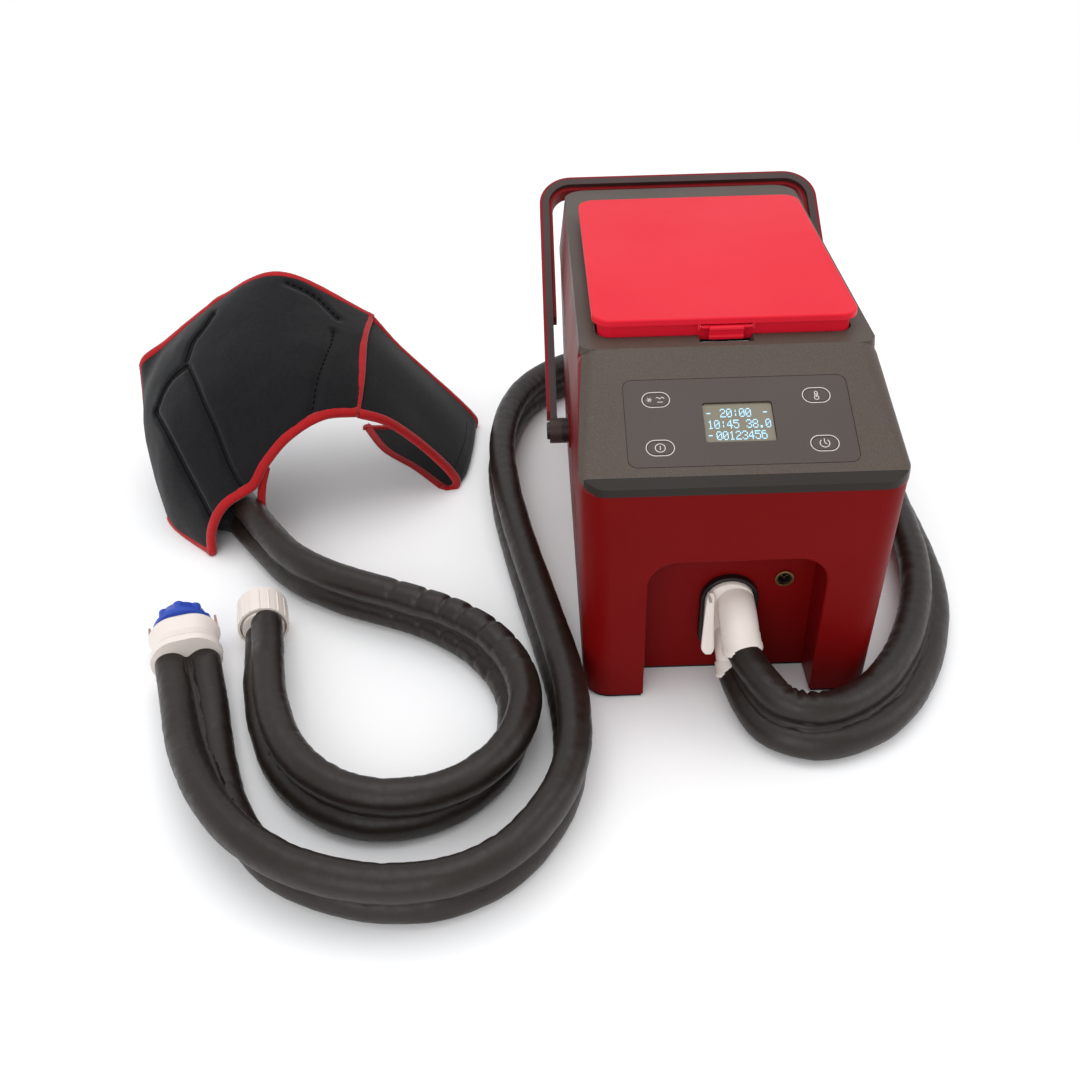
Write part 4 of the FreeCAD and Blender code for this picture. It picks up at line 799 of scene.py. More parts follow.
def lay_out(piece: bpy.types.Object, across: np.ndarray, along: np.ndarray) -> None:
    """Writes how far each vertex lies across and along its cloth, in metres.

    Args:
        piece: the mesh piece.
        across: one number for each vertex.
        along: one number for each vertex.
    """
    layer = piece.data.uv_layers.new(name="lay")
    loops = np.empty(len(piece.data.loops), dtype=np.int64)
    piece.data.loops.foreach_get("vertex_index", loops)
    pairs = np.stack([across[loops], along[loops]], axis=1)
    layer.data.foreach_set("uv", pairs.reshape(-1))


# ---------------------------------------------------------------------------
# studio
# ---------------------------------------------------------------------------
@dataclass
class Studio:
    """Camera, floor, lamps and surroundings."""

    eye: tuple[float, float, float] = (-0.12754, -0.77336, 0.57529)
    yaw: float = -0.0006
    pitch: float = 0.6428
    roll: float = -0.0305
    lens: float = 38.15
    sensor: float = 36.0
    floor_half: float = 3.0
    floor_colour: tuple[float, float, float] = (253, 253, 253)
    floor_shade: tuple[float, float, float] = (251, 251, 251)
    fade_from: float = 0.55
    fade_to: float = 1.25
    sky: tuple[float, float, float, float] = (0.97, 0.98, 1.0, 1.0)
    sky_strength: float = 0.82

    def build(self) -> None:
        """Sets up everything around the object."""
        self.camera()
        self.floor()
        self.lamps()
        self.surroundings()
        bpy.context.scene.view_settings.view_transform = "Standard"
        LOG.info("studio: camera, floor, lamps")

    def camera(self) -> None:
        """Places the camera at its viewing angle."""
        ahead = Vector((math.sin(self.yaw) * math.cos(self.pitch),
                        math.cos(self.yaw) * math.cos(self.pitch), -math.sin(self.pitch)))
        right = Vector((math.cos(self.yaw), -math.sin(self.yaw), 0.0))
        up = right.cross(ahead)
        r = math.cos(self.roll) * right + math.sin(self.roll) * up
        u = math.cos(self.roll) * up - math.sin(self.roll) * right
        data = bpy.data.cameras.new("camera")
        data.lens = self.lens
        data.sensor_width = self.sensor
        data.clip_start = 0.01
        data.clip_end = 50.0
        camera = bpy.data.objects.new("camera", data)
        place_at = Matrix((r, u, -ahead)).transposed().to_4x4()
        place_at.translation = self.eye
        camera.matrix_world = place_at
        bpy.context.scene.collection.objects.link(camera)
        bpy.context.scene.camera = camera

    def floor(self) -> None:
        """Lays a plain pale floor that keeps the object's shadow."""
        h = self.floor_half
        mesh = bpy.data.meshes.new("floor")
        mesh.from_pydata([(-h, -h, 0), (h, -h, 0), (h, h, 0), (-h, h, 0)], [], [(0, 1, 2, 3)])
        floor = bpy.data.objects.new("floor", mesh)
        bpy.context.scene.collection.objects.link(floor)
        material, shader = blank("floor_pale")
        tone = place(material, GROUPS.mottle(), Colour=linear(self.floor_colour),
                     Shade=linear(self.floor_shade), Size=0.5, Amount=0.5)
        material.node_tree.links.new(tone.outputs["Colour"], shader.inputs["Base Color"])
        shader.inputs["Roughness"].default_value = 0.9
        shader.inputs["Specular IOR Level"].default_value = 0.1
        n, link = material.node_tree.nodes, material.node_tree.links
        where = n.new("ShaderNodeTexCoord")
        far = n.new("ShaderNodeVectorMath")
        far.operation = "LENGTH"
        fade = n.new("ShaderNodeMapRange")
        fade.interpolation_type = "SMOOTHSTEP"
        fade.inputs["From Min"].default_value = self.fade_from
        fade.inputs["From Max"].default_value = self.fade_to
        clear = n.new("ShaderNodeBsdfTransparent")
        mix = n.new("ShaderNodeMixShader")
        link.new(where.outputs["Object"], far.inputs[0])
        link.new(far.outputs["Value"], fade.inputs["Value"])
        link.new(fade.outputs["Result"], mix.inputs["Fac"])
        link.new(shader.outputs[0], mix.inputs[1])
        link.new(clear.outputs[0], mix.inputs[2])
        link.new(mix.outputs[0], n["Material Output"].inputs["Surface"])
        mesh.materials.append(material)

    def lamps(self) -> None:
        """Hangs a broad soft lamp overhead, a side lamp and a weak fill from the front."""
        plan = (("overhead", (-0.15, 0.30, 2.4), (-0.05, -0.05, 0.0), 2.2, 22.0),
                ("side", (1.9, -0.2, 1.3), (0.0, 0.0, 0.1), 1.2, 7.0),
                ("front", (-0.7, -2.0, 1.1), (0.0, 0.0, 0.1), 1.6, 13.0))
        for name, spot, aim, size, power in plan:
            data = bpy.data.lights.new(name, "AREA")
            data.shape = "SQUARE"
            data.size = size
            data.energy = power
            lamp = bpy.data.objects.new(name, data)
            lamp.location = spot
            lamp.rotation_euler = (Vector(aim) - Vector(spot)).to_track_quat("-Z", "Y").to_euler()
            bpy.context.scene.collection.objects.link(lamp)

    def surroundings(self) -> None:
        """Lights the scene softly from all sides and shows white behind it."""
        world = bpy.data.worlds.new("surroundings")
        bpy.context.scene.world = world
        world.use_nodes = True
        n, link = world.node_tree.nodes, world.node_tree.links
        n.clear()
        out = n.new("ShaderNodeOutputWorld")
        lit = n.new("ShaderNodeBackground")
        lit.inputs["Color"].default_value = self.sky
        lit.inputs["Strength"].default_value = self.sky_strength
        seen = n.new("ShaderNodeBackground")
        seen.inputs["Color"].default_value = (1.0, 1.0, 1.0, 1.0)
        seen.inputs["Strength"].default_value = 1.0
        path = n.new("ShaderNodeLightPath")
        mix = n.new("ShaderNodeMixShader")
        link.new(path.outputs["Is Camera Ray"], mix.inputs["Fac"])
        link.new(lit.outputs[0], mix.inputs[1])
        link.new(seen.outputs[0], mix.inputs[2])
        link.new(mix.outputs[0], out.inputs["Surface"])


# ---------------------------------------------------------------------------
# twin hoses
# ---------------------------------------------------------------------------
@dataclass(frozen=True)
class Rails:
    """A hose's middle line, and what each of its rings needs to know, as rows in metres."""

    spine: np.ndarray
    ahead: np.ndarray
    left: np.ndarray
    up: np.ndarray
    out: np.ndarray
    bend: np.ndarray
    apart: np.ndarray
    share: np.ndarray


@dataclass
class TwinHose:
    """Two water tubes side by side in one coated sleeve, sewn between them.

    The route, the spread, the seam and the pinches are in millimetres, the rolls in degrees and
    all other sizes in metres. Rolls, spread and pinches stand at shares of the length.
    """

    name: str
    node: str
    route: tuple[tuple[float, float, float], ...]
    rolls: tuple[tuple[float, float], ...]
    spread: tuple[tuple[float, float], ...]
    far_end: str
    carries: tuple[str, ...]
    pinches: tuple[tuple[float, float], ...] = ()
    radius: float = 0.0114
    step: float = 0.0022
    around: int = 30
    floor: float = 0.0002
    smoothings: int = 12
    pinch_width: float = 0.0017
    wrinkle_pitch: float = 0.0125
    wrinkle_drift: float = 1.3
    drift_size: float = 0.034
    wrinkle_width: float = 0.15
    wrinkle_depth: float = 0.00010
    squeeze_depth: float = 0.0062
    most_squeeze: float = 0.4
    patch_mean: float = 0.5
    patch_swing: float = 1.3
    patch_size: float = 0.026
    pinch_share: float = 0.35
    swells: tuple[tuple[float, float, float, float], ...] = ((0.0004, 0.022, 0.9, 9.0),
                                                             (0.00025, 0.0075, 1.8, 4.0))
    seam: tuple[tuple[float, float], ...] = ((3.4, 7.7), (1.6, 6.0), (0.0, 4.9), (-1.6, 6.0),
                                             (-3.4, 7.7))
    seam_apart: float = 0.0105
    seam_floor: float = 0.0004
    pucker: float = 0.55
    pucker_pitch: float = 0.0052
    pucker_share: float = 0.25

    def build(self) -> None:
        """Sweeps both lobes and the sewn web between them."""
        line = nurbs_line(self.name, self.route)
        length = float(np.linalg.norm(np.diff(line, axis=0), axis=1).sum())
        count = int(length / self.step)
        rails = self.rails(line, length, count)
        parts = [(*self.lobe(rails, side), self.around) for side in (1.0, -1.0)]
        parts.append((*self.web(rails), 2 * len(self.seam)))
        faces: list[tuple[int, ...]] = []
        first = 0
        for rows, _, around in parts:
            faces += bridge(count, around, first) + caps(count, around, first)
            first += len(rows)
        hose = add_mesh(self.name, np.vstack([rows for rows, _, _ in parts]), faces,
                        PALETTE.get("hose_sleeve"))
        marks = np.vstack([lay for _, lay, _ in parts])
        lay_out(hose, marks[:, 0], marks[:, 1])
        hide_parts(self.node)
        LOG.info("%s: %.3f m long", self.name, length)

    def rails(self, line: np.ndarray, length: float, count: int) -> Rails:
        """Works out what the rings need, and lifts the line where a tube would sink.

        Args:
            line: points of the route, in metres.
            length: the route's length, in metres.
            count: how many rings there are.

        Returns:
            The middle line with its directions, bends and spacing.
        """
        spine = evenly(line, count)
        ahead = tangents(spine)
        left = unit(np.cross(np.array([0.0, 0.0, 1.0]), ahead))
        up = np.cross(ahead, left)
        bend = np.gradient(ahead, length / (count - 1), axis=0)
        for _ in range(self.smoothings):
            bend[1:-1] = (bend[:-2] + 2 * bend[1:-1] + bend[2:]) / 4
        share = np.linspace(0.0, 1.0, count)
        roll = np.radians(self.eased(share, self.rolls))
        apart = self.eased(share, self.spread) * MM
        out = np.cos(roll)[:, None] * left + np.sin(roll)[:, None] * up
        lowest = (spine - apart[:, None] * np.abs(out))[:, 2]
        lift = np.maximum(self.floor + self.radius - lowest, 0.0)
        return Rails(spine + np.outer(lift, [0.0, 0.0, 1.0]), ahead, left, up, out, bend, apart,
                     share)

    def eased(self, share: np.ndarray, stations: tuple[tuple[float, float], ...]) -> np.ndarray:
        """Reads a value along the hose from its stations, with soft turns.

        Args:
            share: share of the length at each ring.
            stations: share and value pairs.

        Returns:
            The value at each ring.
        """
        raw = np.interp(share, [s for s, _ in stations], [v for _, v in stations])
        width = max(3, len(share) // 40)
        kernel = np.hanning(width)
        kernel /= kernel.sum()
        padded = np.pad(raw, width, mode="edge")
        return np.convolve(padded, kernel, mode="same")[width:-width]

    def lobe(self, rails: Rails, side: float) -> tuple[np.ndarray, np.ndarray]:
        """Makes one tube of the pair, gathered where the bend squeezes it.

        Args:
            rails: the hose's middle line with its directions, bends and spacing.
            side: one for the left tube and minus one for the right.

        Returns:
            Its points, and how far each lies around and along it.
        """
        count = len(rails.spine)
        length = count * self.step
        rows = np.empty((count, self.around, 3))
        marks = np.empty((count, self.around, 2))
        middle = rails.spine + side * rails.apart[:, None] * rails.out
        angles = np.linspace(0.0, 2 * math.pi, self.around, endpoint=False)
        for i, (left, up, bend) in enumerate(zip(rails.left, rails.up, rails.bend)):
            s = rails.share[i] * length
            pinch = sum(d * math.exp(-((s - p * length) / self.pinch_width) ** 2)
                        for p, d in self.pinches)
            for j, a in enumerate(angles):
                n = math.cos(a) * left + math.sin(a) * up
                offset = side * rails.apart[i] * rails.out[i] + self.radius * n
                squeeze = min(max(float(offset @ bend), 0.0), self.most_squeeze)
                phase = s / self.wrinkle_pitch
                drift = wobble(s / self.drift_size, a * 0.5 + side * 3.1, 2.0)
                phase += self.wrinkle_drift * drift
                off = phase - round(phase)
                valley = math.exp(-(off / self.wrinkle_width) ** 2)
                cloud = wobble(s / self.patch_size, a * 0.8, 5.0 + side)
                patch = max(0.0, self.patch_mean + self.patch_swing * cloud)
                swell = -valley * patch * (self.wrinkle_depth + self.squeeze_depth * squeeze)
                for high, size, turn, seed in self.swells:
                    swell += high * wobble(s / size, a * turn, seed * side)
                above = self.pinch_share + (1.0 - self.pinch_share) * float(n @ up)
                swell -= pinch * MM * max(0.0, above)
                rows[i, j] = middle[i] + (self.radius + swell) * n
                marks[i, j] = (a * self.radius, s)
        rows[:, :, 2] = np.maximum(rows[:, :, 2], self.floor)
        return rows.reshape(-1, 3), marks.reshape(-1, 2)

    def web(self, rails: Rails) -> tuple[np.ndarray, np.ndarray]:
        """Makes the puckered seam that joins the two tubes.

        Args:
            rails: the hose's middle line with its directions, bends and spacing.

        Returns:
            Its points, and how far each lies around and along it.
        """
        over = np.cross(rails.ahead, rails.out)
        ring = self.seam + tuple((d, -n) for d, n in reversed(self.seam))
        count = len(rails.spine)
        length = count * self.step
        rows = np.empty((count, len(ring), 3))
        marks = np.empty((count, len(ring), 2))
        for i in range(count):
            s = rails.share[i] * length
            pucker = self.pucker * math.cos(2 * math.pi * s / self.pucker_pitch)
            for j, (d, n) in enumerate(ring):
                dip = pucker if d == 0.0 else self.pucker_share * pucker
                width = d * min(1.0, rails.apart[i] / self.seam_apart)
                rise = n + math.copysign(dip, n)
                rows[i, j] = rails.spine[i] + MM * (width * rails.out[i] + rise * over[i])
                marks[i, j] = (0.002 * j, s)
        rows[:, :, 2] = np.maximum(rows[:, :, 2], self.floor + self.seam_floor)
        return rows.reshape(-1, 3), marks.reshape(-1, 2)


# each hose's middle line from its exit to its far end, as control points in millimetres
MACHINE_ROUTE = (
    (6.0, -191.5, 31.0), (14.0, -222.0, 25.0), (30.0, -243.0, 20.5),
    (60, -249, 19.5), (105, -224, 19.0), (143, -167, 20.0), (165, -99, 21.0), (168, -34, 22.0),
    (168, 40, 22.5), (165, 110, 22.8), (153, 176, 22.8), (121, 229, 22.8), (66, 259, 22.8),
    (2, 267, 22.8), (-58, 259, 22.8), (-112, 231, 22.8), (-148, 182, 22.8), (-162, 104, 22.8),
    (-156, 22, 22.8), (-142, -60, 22.8), (-124, -146, 22.8), (-110, -218, 22.8),
    (-111, -284, 22.8), (-139, -338, 22.8), (-174, -364, 22.8), (-213, -371, 22.8),
    (-254, -364, 22.8), (-294, -345, 22.0), (-328, -308, 20.5), (-354, -255, 17.5),
    (-371, -200, 17.5), (-383, -165, 19.0), (-385.3, -157.4, 20.0))
WRAP_ROUTE = (
    (-382, 22, 21.5), (-357, -15, 22.0), (-325, -61, 22.0), (-283, -91, 22.5),
    (-237, -111, 22.8), (-197, -132, 22.5), (-163, -164, 22.0), (-145, -204, 21.5),
    (-145, -241, 21.5), (-159, -276, 22.0), (-189, -302, 22.5), (-226, -310, 22.5),
    (-262, -300, 22.5), (-295, -270, 22.5), (-315, -225, 22.3), (-326, -180, 21.5),
    (-328.5, -160, 20.5), (-334.5, -130.7, 19.1))


@dataclass
class Hoses:
    """The machine's long hose and the wrap's shorter one."""

    def build(self) -> None:
        """Builds both hoses."""
        TwinHose(
            name="long_twin_hose", node="machine_hose", route=MACHINE_ROUTE,
            rolls=((0.0, 84), (0.03, 64), (0.07, 42), (0.14, 48), (0.24, 70), (0.36, 84),
                   (0.62, 86), (0.74, 82), (0.83, 84), (0.885, 78), (0.925, 52), (0.96, 22),
                   (1.0, 3)),
            spread=((0.0, 12.1), (0.04, 11.3), (1.0, 11.4)), far_end="connector",
            carries=("connector_body", "connector_collar", "connector_clips")).build()
        TwinHose(
            name="wrap_twin_hose", node="wrap_hose", route=WRAP_ROUTE,
            rolls=((0.0, 78), (0.15, 92), (0.3, 98), (0.4, 80), (0.5, 68), (0.6, 78),
                   (0.72, 100), (0.85, 108), (0.93, 114), (1.0, 118)),
            spread=((0.0, 11.3), (0.93, 11.2), (0.965, 8.4), (1.0, 6.2)), far_end="fitting",
            carries=("coupling_core", "coupling_ring"),
            pinches=((0.285, 1.6), (0.318, 2.6), (0.347, 3.0), (0.372, 2.4), (0.402, 2.8),
                     (0.43, 1.9), (0.462, 1.3))).build()


# ---------------------------------------------------------------------------
# machine
# ---------------------------------------------------------------------------
# the finish of each piece that keeps the frame's own shape
FIXED_PIECES = {
    "housing_red": ("housing",),
    "dark_plastic": ("base_plate", "socket_bezel", "socket_block", "pivot_bosses", "jack_insert",
                     "pump_motor", "pump_body"),
    "steel": ("base_screws", "case_screws", "board_screws", "pivot_nuts", "latch_pin",
              "lid_hinge_pin"),
    "screw_dark": ("pivot_screws",),
    "foot_rubber": ("foot_ring", "tub_gasket"),
    "cover_grey": ("top_cover",),
    "overlay_grey": ("control_overlay",),
    "key_grey": ("key_mode", "key_power", "key_temperature", "key_timer", "tact_switches"),
    "window": ("display_window",),
    "display": ("display_module",),
    "board_green": ("control_board",),
    "tub_white": ("ice_tub", "lid_liner", "pump_impeller"),
    "lid_red": ("lid",),
    "bail_grey": ("handle_bail",),
    "grip_red": ("handle_grip",),
    "white_plastic": ("lever_pin", "connector_body", "coupling_ring", "coupling_core"),
    "brass": ("jack_ring", "jack_pins"),
    "aluminium": ("heater_block",),
    "silicone": ("tube_suction", "tube_pressure", "tube_supply", "tube_return"),
    "blue_plastic": ("connector_collar",),
    "clip_metal": ("connector_clips",),
}


@dataclass
class Machine:
    """The case, tub, lid, handle and water circuit, all fixed pieces of the frame."""

    def build(self) -> None:
        """Gives every fixed piece its finish."""
        for finish, nodes in FIXED_PIECES.items():
            dress(finish, *nodes)
        LOG.info("machine: %d fixed pieces dressed", sum(map(len, FIXED_PIECES.values())))


@dataclass
class Latch:
    """The small latch plate under the lid's front edge, hung on its full-width barrel."""

    plate_half: float = 11.5
    barrel_half: float = 16.8
    round_off: float = 0.5

    def build(self) -> None:
        """Builds the barrel with the plate and its finger lip."""
        barrel = [(-82.3, 231.6), (-83.3, 231.2), (-83.8, 230.2), (-83.4, 229.2), (-82.3, 228.8),
                  (-81.0, 229.1), (-80.4, 230.1), (-81.0, 231.3)]
        plate = [(-84.4, 231.7), (-85.7, 231.0), (-86.0, 229.6), (-84.8, 228.6), (-84.5, 225.4),
                 (-85.7, 224.2), (-85.6, 222.6), (-84.2, 222.1), (-82.4, 223.0), (-81.6, 226.0),
                 (-81.2, 229.6), (-82.2, 231.5)]
        points: list[tuple[float, float, float]] = []
        faces: list[tuple[int, ...]] = []
        for outline, half in ((barrel, self.barrel_half), (plate, self.plate_half)):
            middle = np.array(outline).mean(axis=0)
            first = len(points)
            for x, inset in ((-half, self.round_off), (-half + self.round_off, 0.0),
                             (half - self.round_off, 0.0), (half, self.round_off)):
                for spot in np.array(outline):
                    way = unit(spot - middle)
                    y, z = spot - way * inset
                    points.append((x * MM, y * MM, z * MM))
            faces += bridge(4, len(outline), first) + caps(4, len(outline), first)
        piece = add_mesh("latch_plate", np.array(points), faces, PALETTE.get("lid_red"), "latch")
        piece.data.polygons.foreach_set("use_smooth", [False] * len(piece.data.polygons))
        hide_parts("lid_latch")
        LOG.info("latch: %s", piece.name)


@dataclass
class HosePlug:
    """The white plug in the socket: a flat head, two necks with collars, and a release lever."""

    neck: float = 13.0
    collar: float = 14.0
    low_neck: float = 11.0
    low_collar: float = 12.6
    around: int = 40
    bend_rings: int = 22
    bend_share: float = 0.7
    wall: float = -0.1640
    head_middle: float = 1.2
    head_half: float = 16.6
    head_low: float = 28.0
    head_high: float = 66.6
    head_corner: float = 4.0
    head_rings: tuple[tuple[float, float], ...] = ((-153.0, 0.0), (-172.2, 0.0), (-173.0, 0.8))
    lever_at: float = -12.6
    lever_lean: float = -1.6
    lever_rings: int = 26
    lever_around: int = 20
    lever_half: float = 2.6
    lever_flare: tuple[float, float] = (3.0, 1.9)
    lever_thick: float = 2.8
    lever_waist: float = 0.9
    lever_taper: float = 0.62
    lever_taper_rings: float = 3.0

    def build(self) -> None:
        """Builds the plug's body and its lever."""
        points: list[np.ndarray] = []
        faces: list[tuple[int, ...]] = []
        high = ((4.0, -164.0, 68.0), (5.0, -173.5, 66.0), (6.2, -183.0, 58.5),
                (7.4, -189.5, 49.0), (8.9, -193.4, 40.6))
        low = ((2.0, -166.0, 38.0), (2.6, -174.0, 36.6), (3.2, -182.0, 30.0),
               (3.8, -187.5, 23.0), (4.6, -191.6, 17.2))
        for route, thin, thick in ((high, self.neck, self.collar),
                                   (low, self.low_neck, self.low_collar)):
            marks = ((0.0, thin), (0.72, thin), (0.73, thick - 0.5), (0.9, thick - 0.5),
                     (0.91, thick), (0.985, thick), (1.0, thick - 0.4), (1.0, thin - 1.6))
            self.neck_of(route, marks, points, faces)
        self.head(points, faces)
        body = add_mesh("hose_plug", np.vstack(points), faces, PALETTE.get("white_plastic"))
        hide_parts("plug_body")
        self.lever()
        LOG.info("hose plug: %d vertices", len(body.data.vertices))

    def neck_of(self, route: tuple, marks: tuple, points: list[np.ndarray],
                faces: list[tuple[int, ...]]) -> None:
        """Sweeps one neck along its bend.

        Args:
            route: points of its middle line, in millimetres.
            marks: share of the length and radius pairs, in order.
            points: rows that the neck's points are added to.
            faces: the list that its faces are added to.
        """
        line = through(np.array(route) * MM, 60)
        way = tangents(line)
        shares = [m[0] for m in marks]
        stops = [*np.linspace(0.0, self.bend_share, self.bend_rings)]
        radii = [np.interp(s, shares[:2], [m[1] for m in marks[:2]]) for s in stops]
        stops += shares[2:]
        radii += [m[1] for m in marks[2:]]
        first = sum(len(p) for p in points)
        rows = np.empty((len(stops), self.around, 3))
        for i, (share, radius) in enumerate(zip(stops, radii)):
            k = share * (len(line) - 1)
            spot = np.array([np.interp(k, np.arange(len(line)), line[:, c]) for c in range(3)])
            t = unit([np.interp(k, np.arange(len(line)), way[:, c]) for c in range(3)])
            side = unit(np.cross(t, [0.0, 0.0, 1.0]))
            up = np.cross(side, t)
            for j in range(self.around):
                a = 2 * math.pi * j / self.around
                rows[i, j] = spot + radius * MM * (math.cos(a) * side + math.sin(a) * up)
        rows[..., 1] = np.minimum(rows[..., 1], self.wall)
        points.append(rows.reshape(-1, 3))
        faces += bridge(len(stops), self.around, first) + caps(len(stops), self.around, first)

    def head(self, points: list[np.ndarray], faces: list[tuple[int, ...]]) -> None:
        """Adds the flat head that fills the socket's frame.

        Args:
            points: rows that the head's points are added to.
            faces: the list that its faces are added to.
        """
        half, corner, middle = self.head_half, self.head_corner, self.head_middle
        top = [(middle + half * math.cos(a), self.head_high + half * math.sin(a))
               for a in np.linspace(0.0, math.pi, 25)]
        turn = np.linspace(0.0, math.pi / 2, 6)
        foot = [(half - corner + corner * math.sin(a),
                 self.head_low + corner - corner * math.cos(a)) for a in turn]
        corners = [(middle - x, z) for x, z in reversed(foot)]
        corners += [(middle + x, z) for x, z in foot]
        outline = np.array(top + corners)
        centre = np.array([middle, 0.5 * (self.head_low + self.head_high)])
        rows = []
        for y, inset in self.head_rings:
            shrunk = outline - unit(outline - centre) * inset
            rows.append([(x * MM, y * MM, z * MM) for x, z in shrunk])
        first = sum(len(p) for p in points)
        points.append(np.array(rows).reshape(-1, 3))
        counts = (len(self.head_rings), len(outline), first)
        faces += bridge(*counts) + caps(*counts)

    def lever(self) -> None:
        """Builds the curved release lever with its thumb foot."""
        back = ((-175.2, 78.4), (-176.0, 74.0), (-178.6, 64.0), (-182.0, 54.0), (-185.6, 45.0),
                (-189.0, 39.0), (-191.6, 37.0))
        line = through(np.array([(0.0, y, z) for y, z in back]) * MM, self.lever_rings)
        last = self.lever_rings - 1
        way = tangents(line)
        rows = []
        for i, (spot, t) in enumerate(zip(line, way)):
            share = i / last
            out = np.array([0.0, t[2], -t[1]])
            out = out if out[1] < 0 else -out
            tip = max(0.0, 1.0 - min(i, last - i) / self.lever_taper_rings)
            narrow = 1.0 - self.lever_taper * tip ** 2
            waist = self.lever_waist * math.sin(math.pi * min(1.0, 1.15 * share))
            thick = (self.lever_thick - waist) * narrow * MM
            middle = self.lever_at + self.lever_lean * share
            x0 = (middle - (self.lever_half + self.lever_flare[0] * share) * narrow) * MM
            x1 = (middle + (self.lever_half + self.lever_flare[1] * share ** 2) * narrow) * MM
            ring = []
            for a in np.linspace(0.0, 2 * math.pi, self.lever_around, endpoint=False):
                u = rounded(math.cos(a), 0.5)
                v = rounded(math.sin(a), 0.8)
                edge = np.array([(x0 + x1) / 2 + u * (x1 - x0) / 2, 0.0, 0.0])
                ring.append(edge + [0.0, spot[1], spot[2]] + out * (v * thick / 2))
            rows.append(ring)
        points = np.array(rows).reshape(-1, 3)
        counts = (self.lever_rings, self.lever_around)
        lever = add_mesh("release_lever", points, bridge(*counts) + caps(*counts),
                         PALETTE.get("white_plastic"), "plug_lever")
        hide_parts("plug_lever")


# the dots of each figure, five wide and seven high, from its top row down
DOTS = {
    "0": "01110 10001 10011 10101 11001 10001 01110",
    "1": "00100 01100 00100 00100 00100 00100 01110",
    "2": "01110 10001 00001 00110 01000 10000 11111",
    "3": "01110 10001 00001 00110 00001 10001 01110",
    "4": "00010 00110 01010 10010 11111 00010 00010",
    "5": "11111 10000 11110 00001 00001 10001 01110",
    "6": "01110 10000 11110 10001 10001 10001 01110",
    "7": "11111 00001 00010 00100 01000 01000 01000",
    "8": "01110 10001 10001 01110 10001 10001 01110",
    "9": "01110 10001 10001 01111 00001 00001 01110",
    ":": "00000 00100 00100 00000 00100 00100 00000",
    ".": "00000 00000 00000 00000 00000 01100 01100",
}


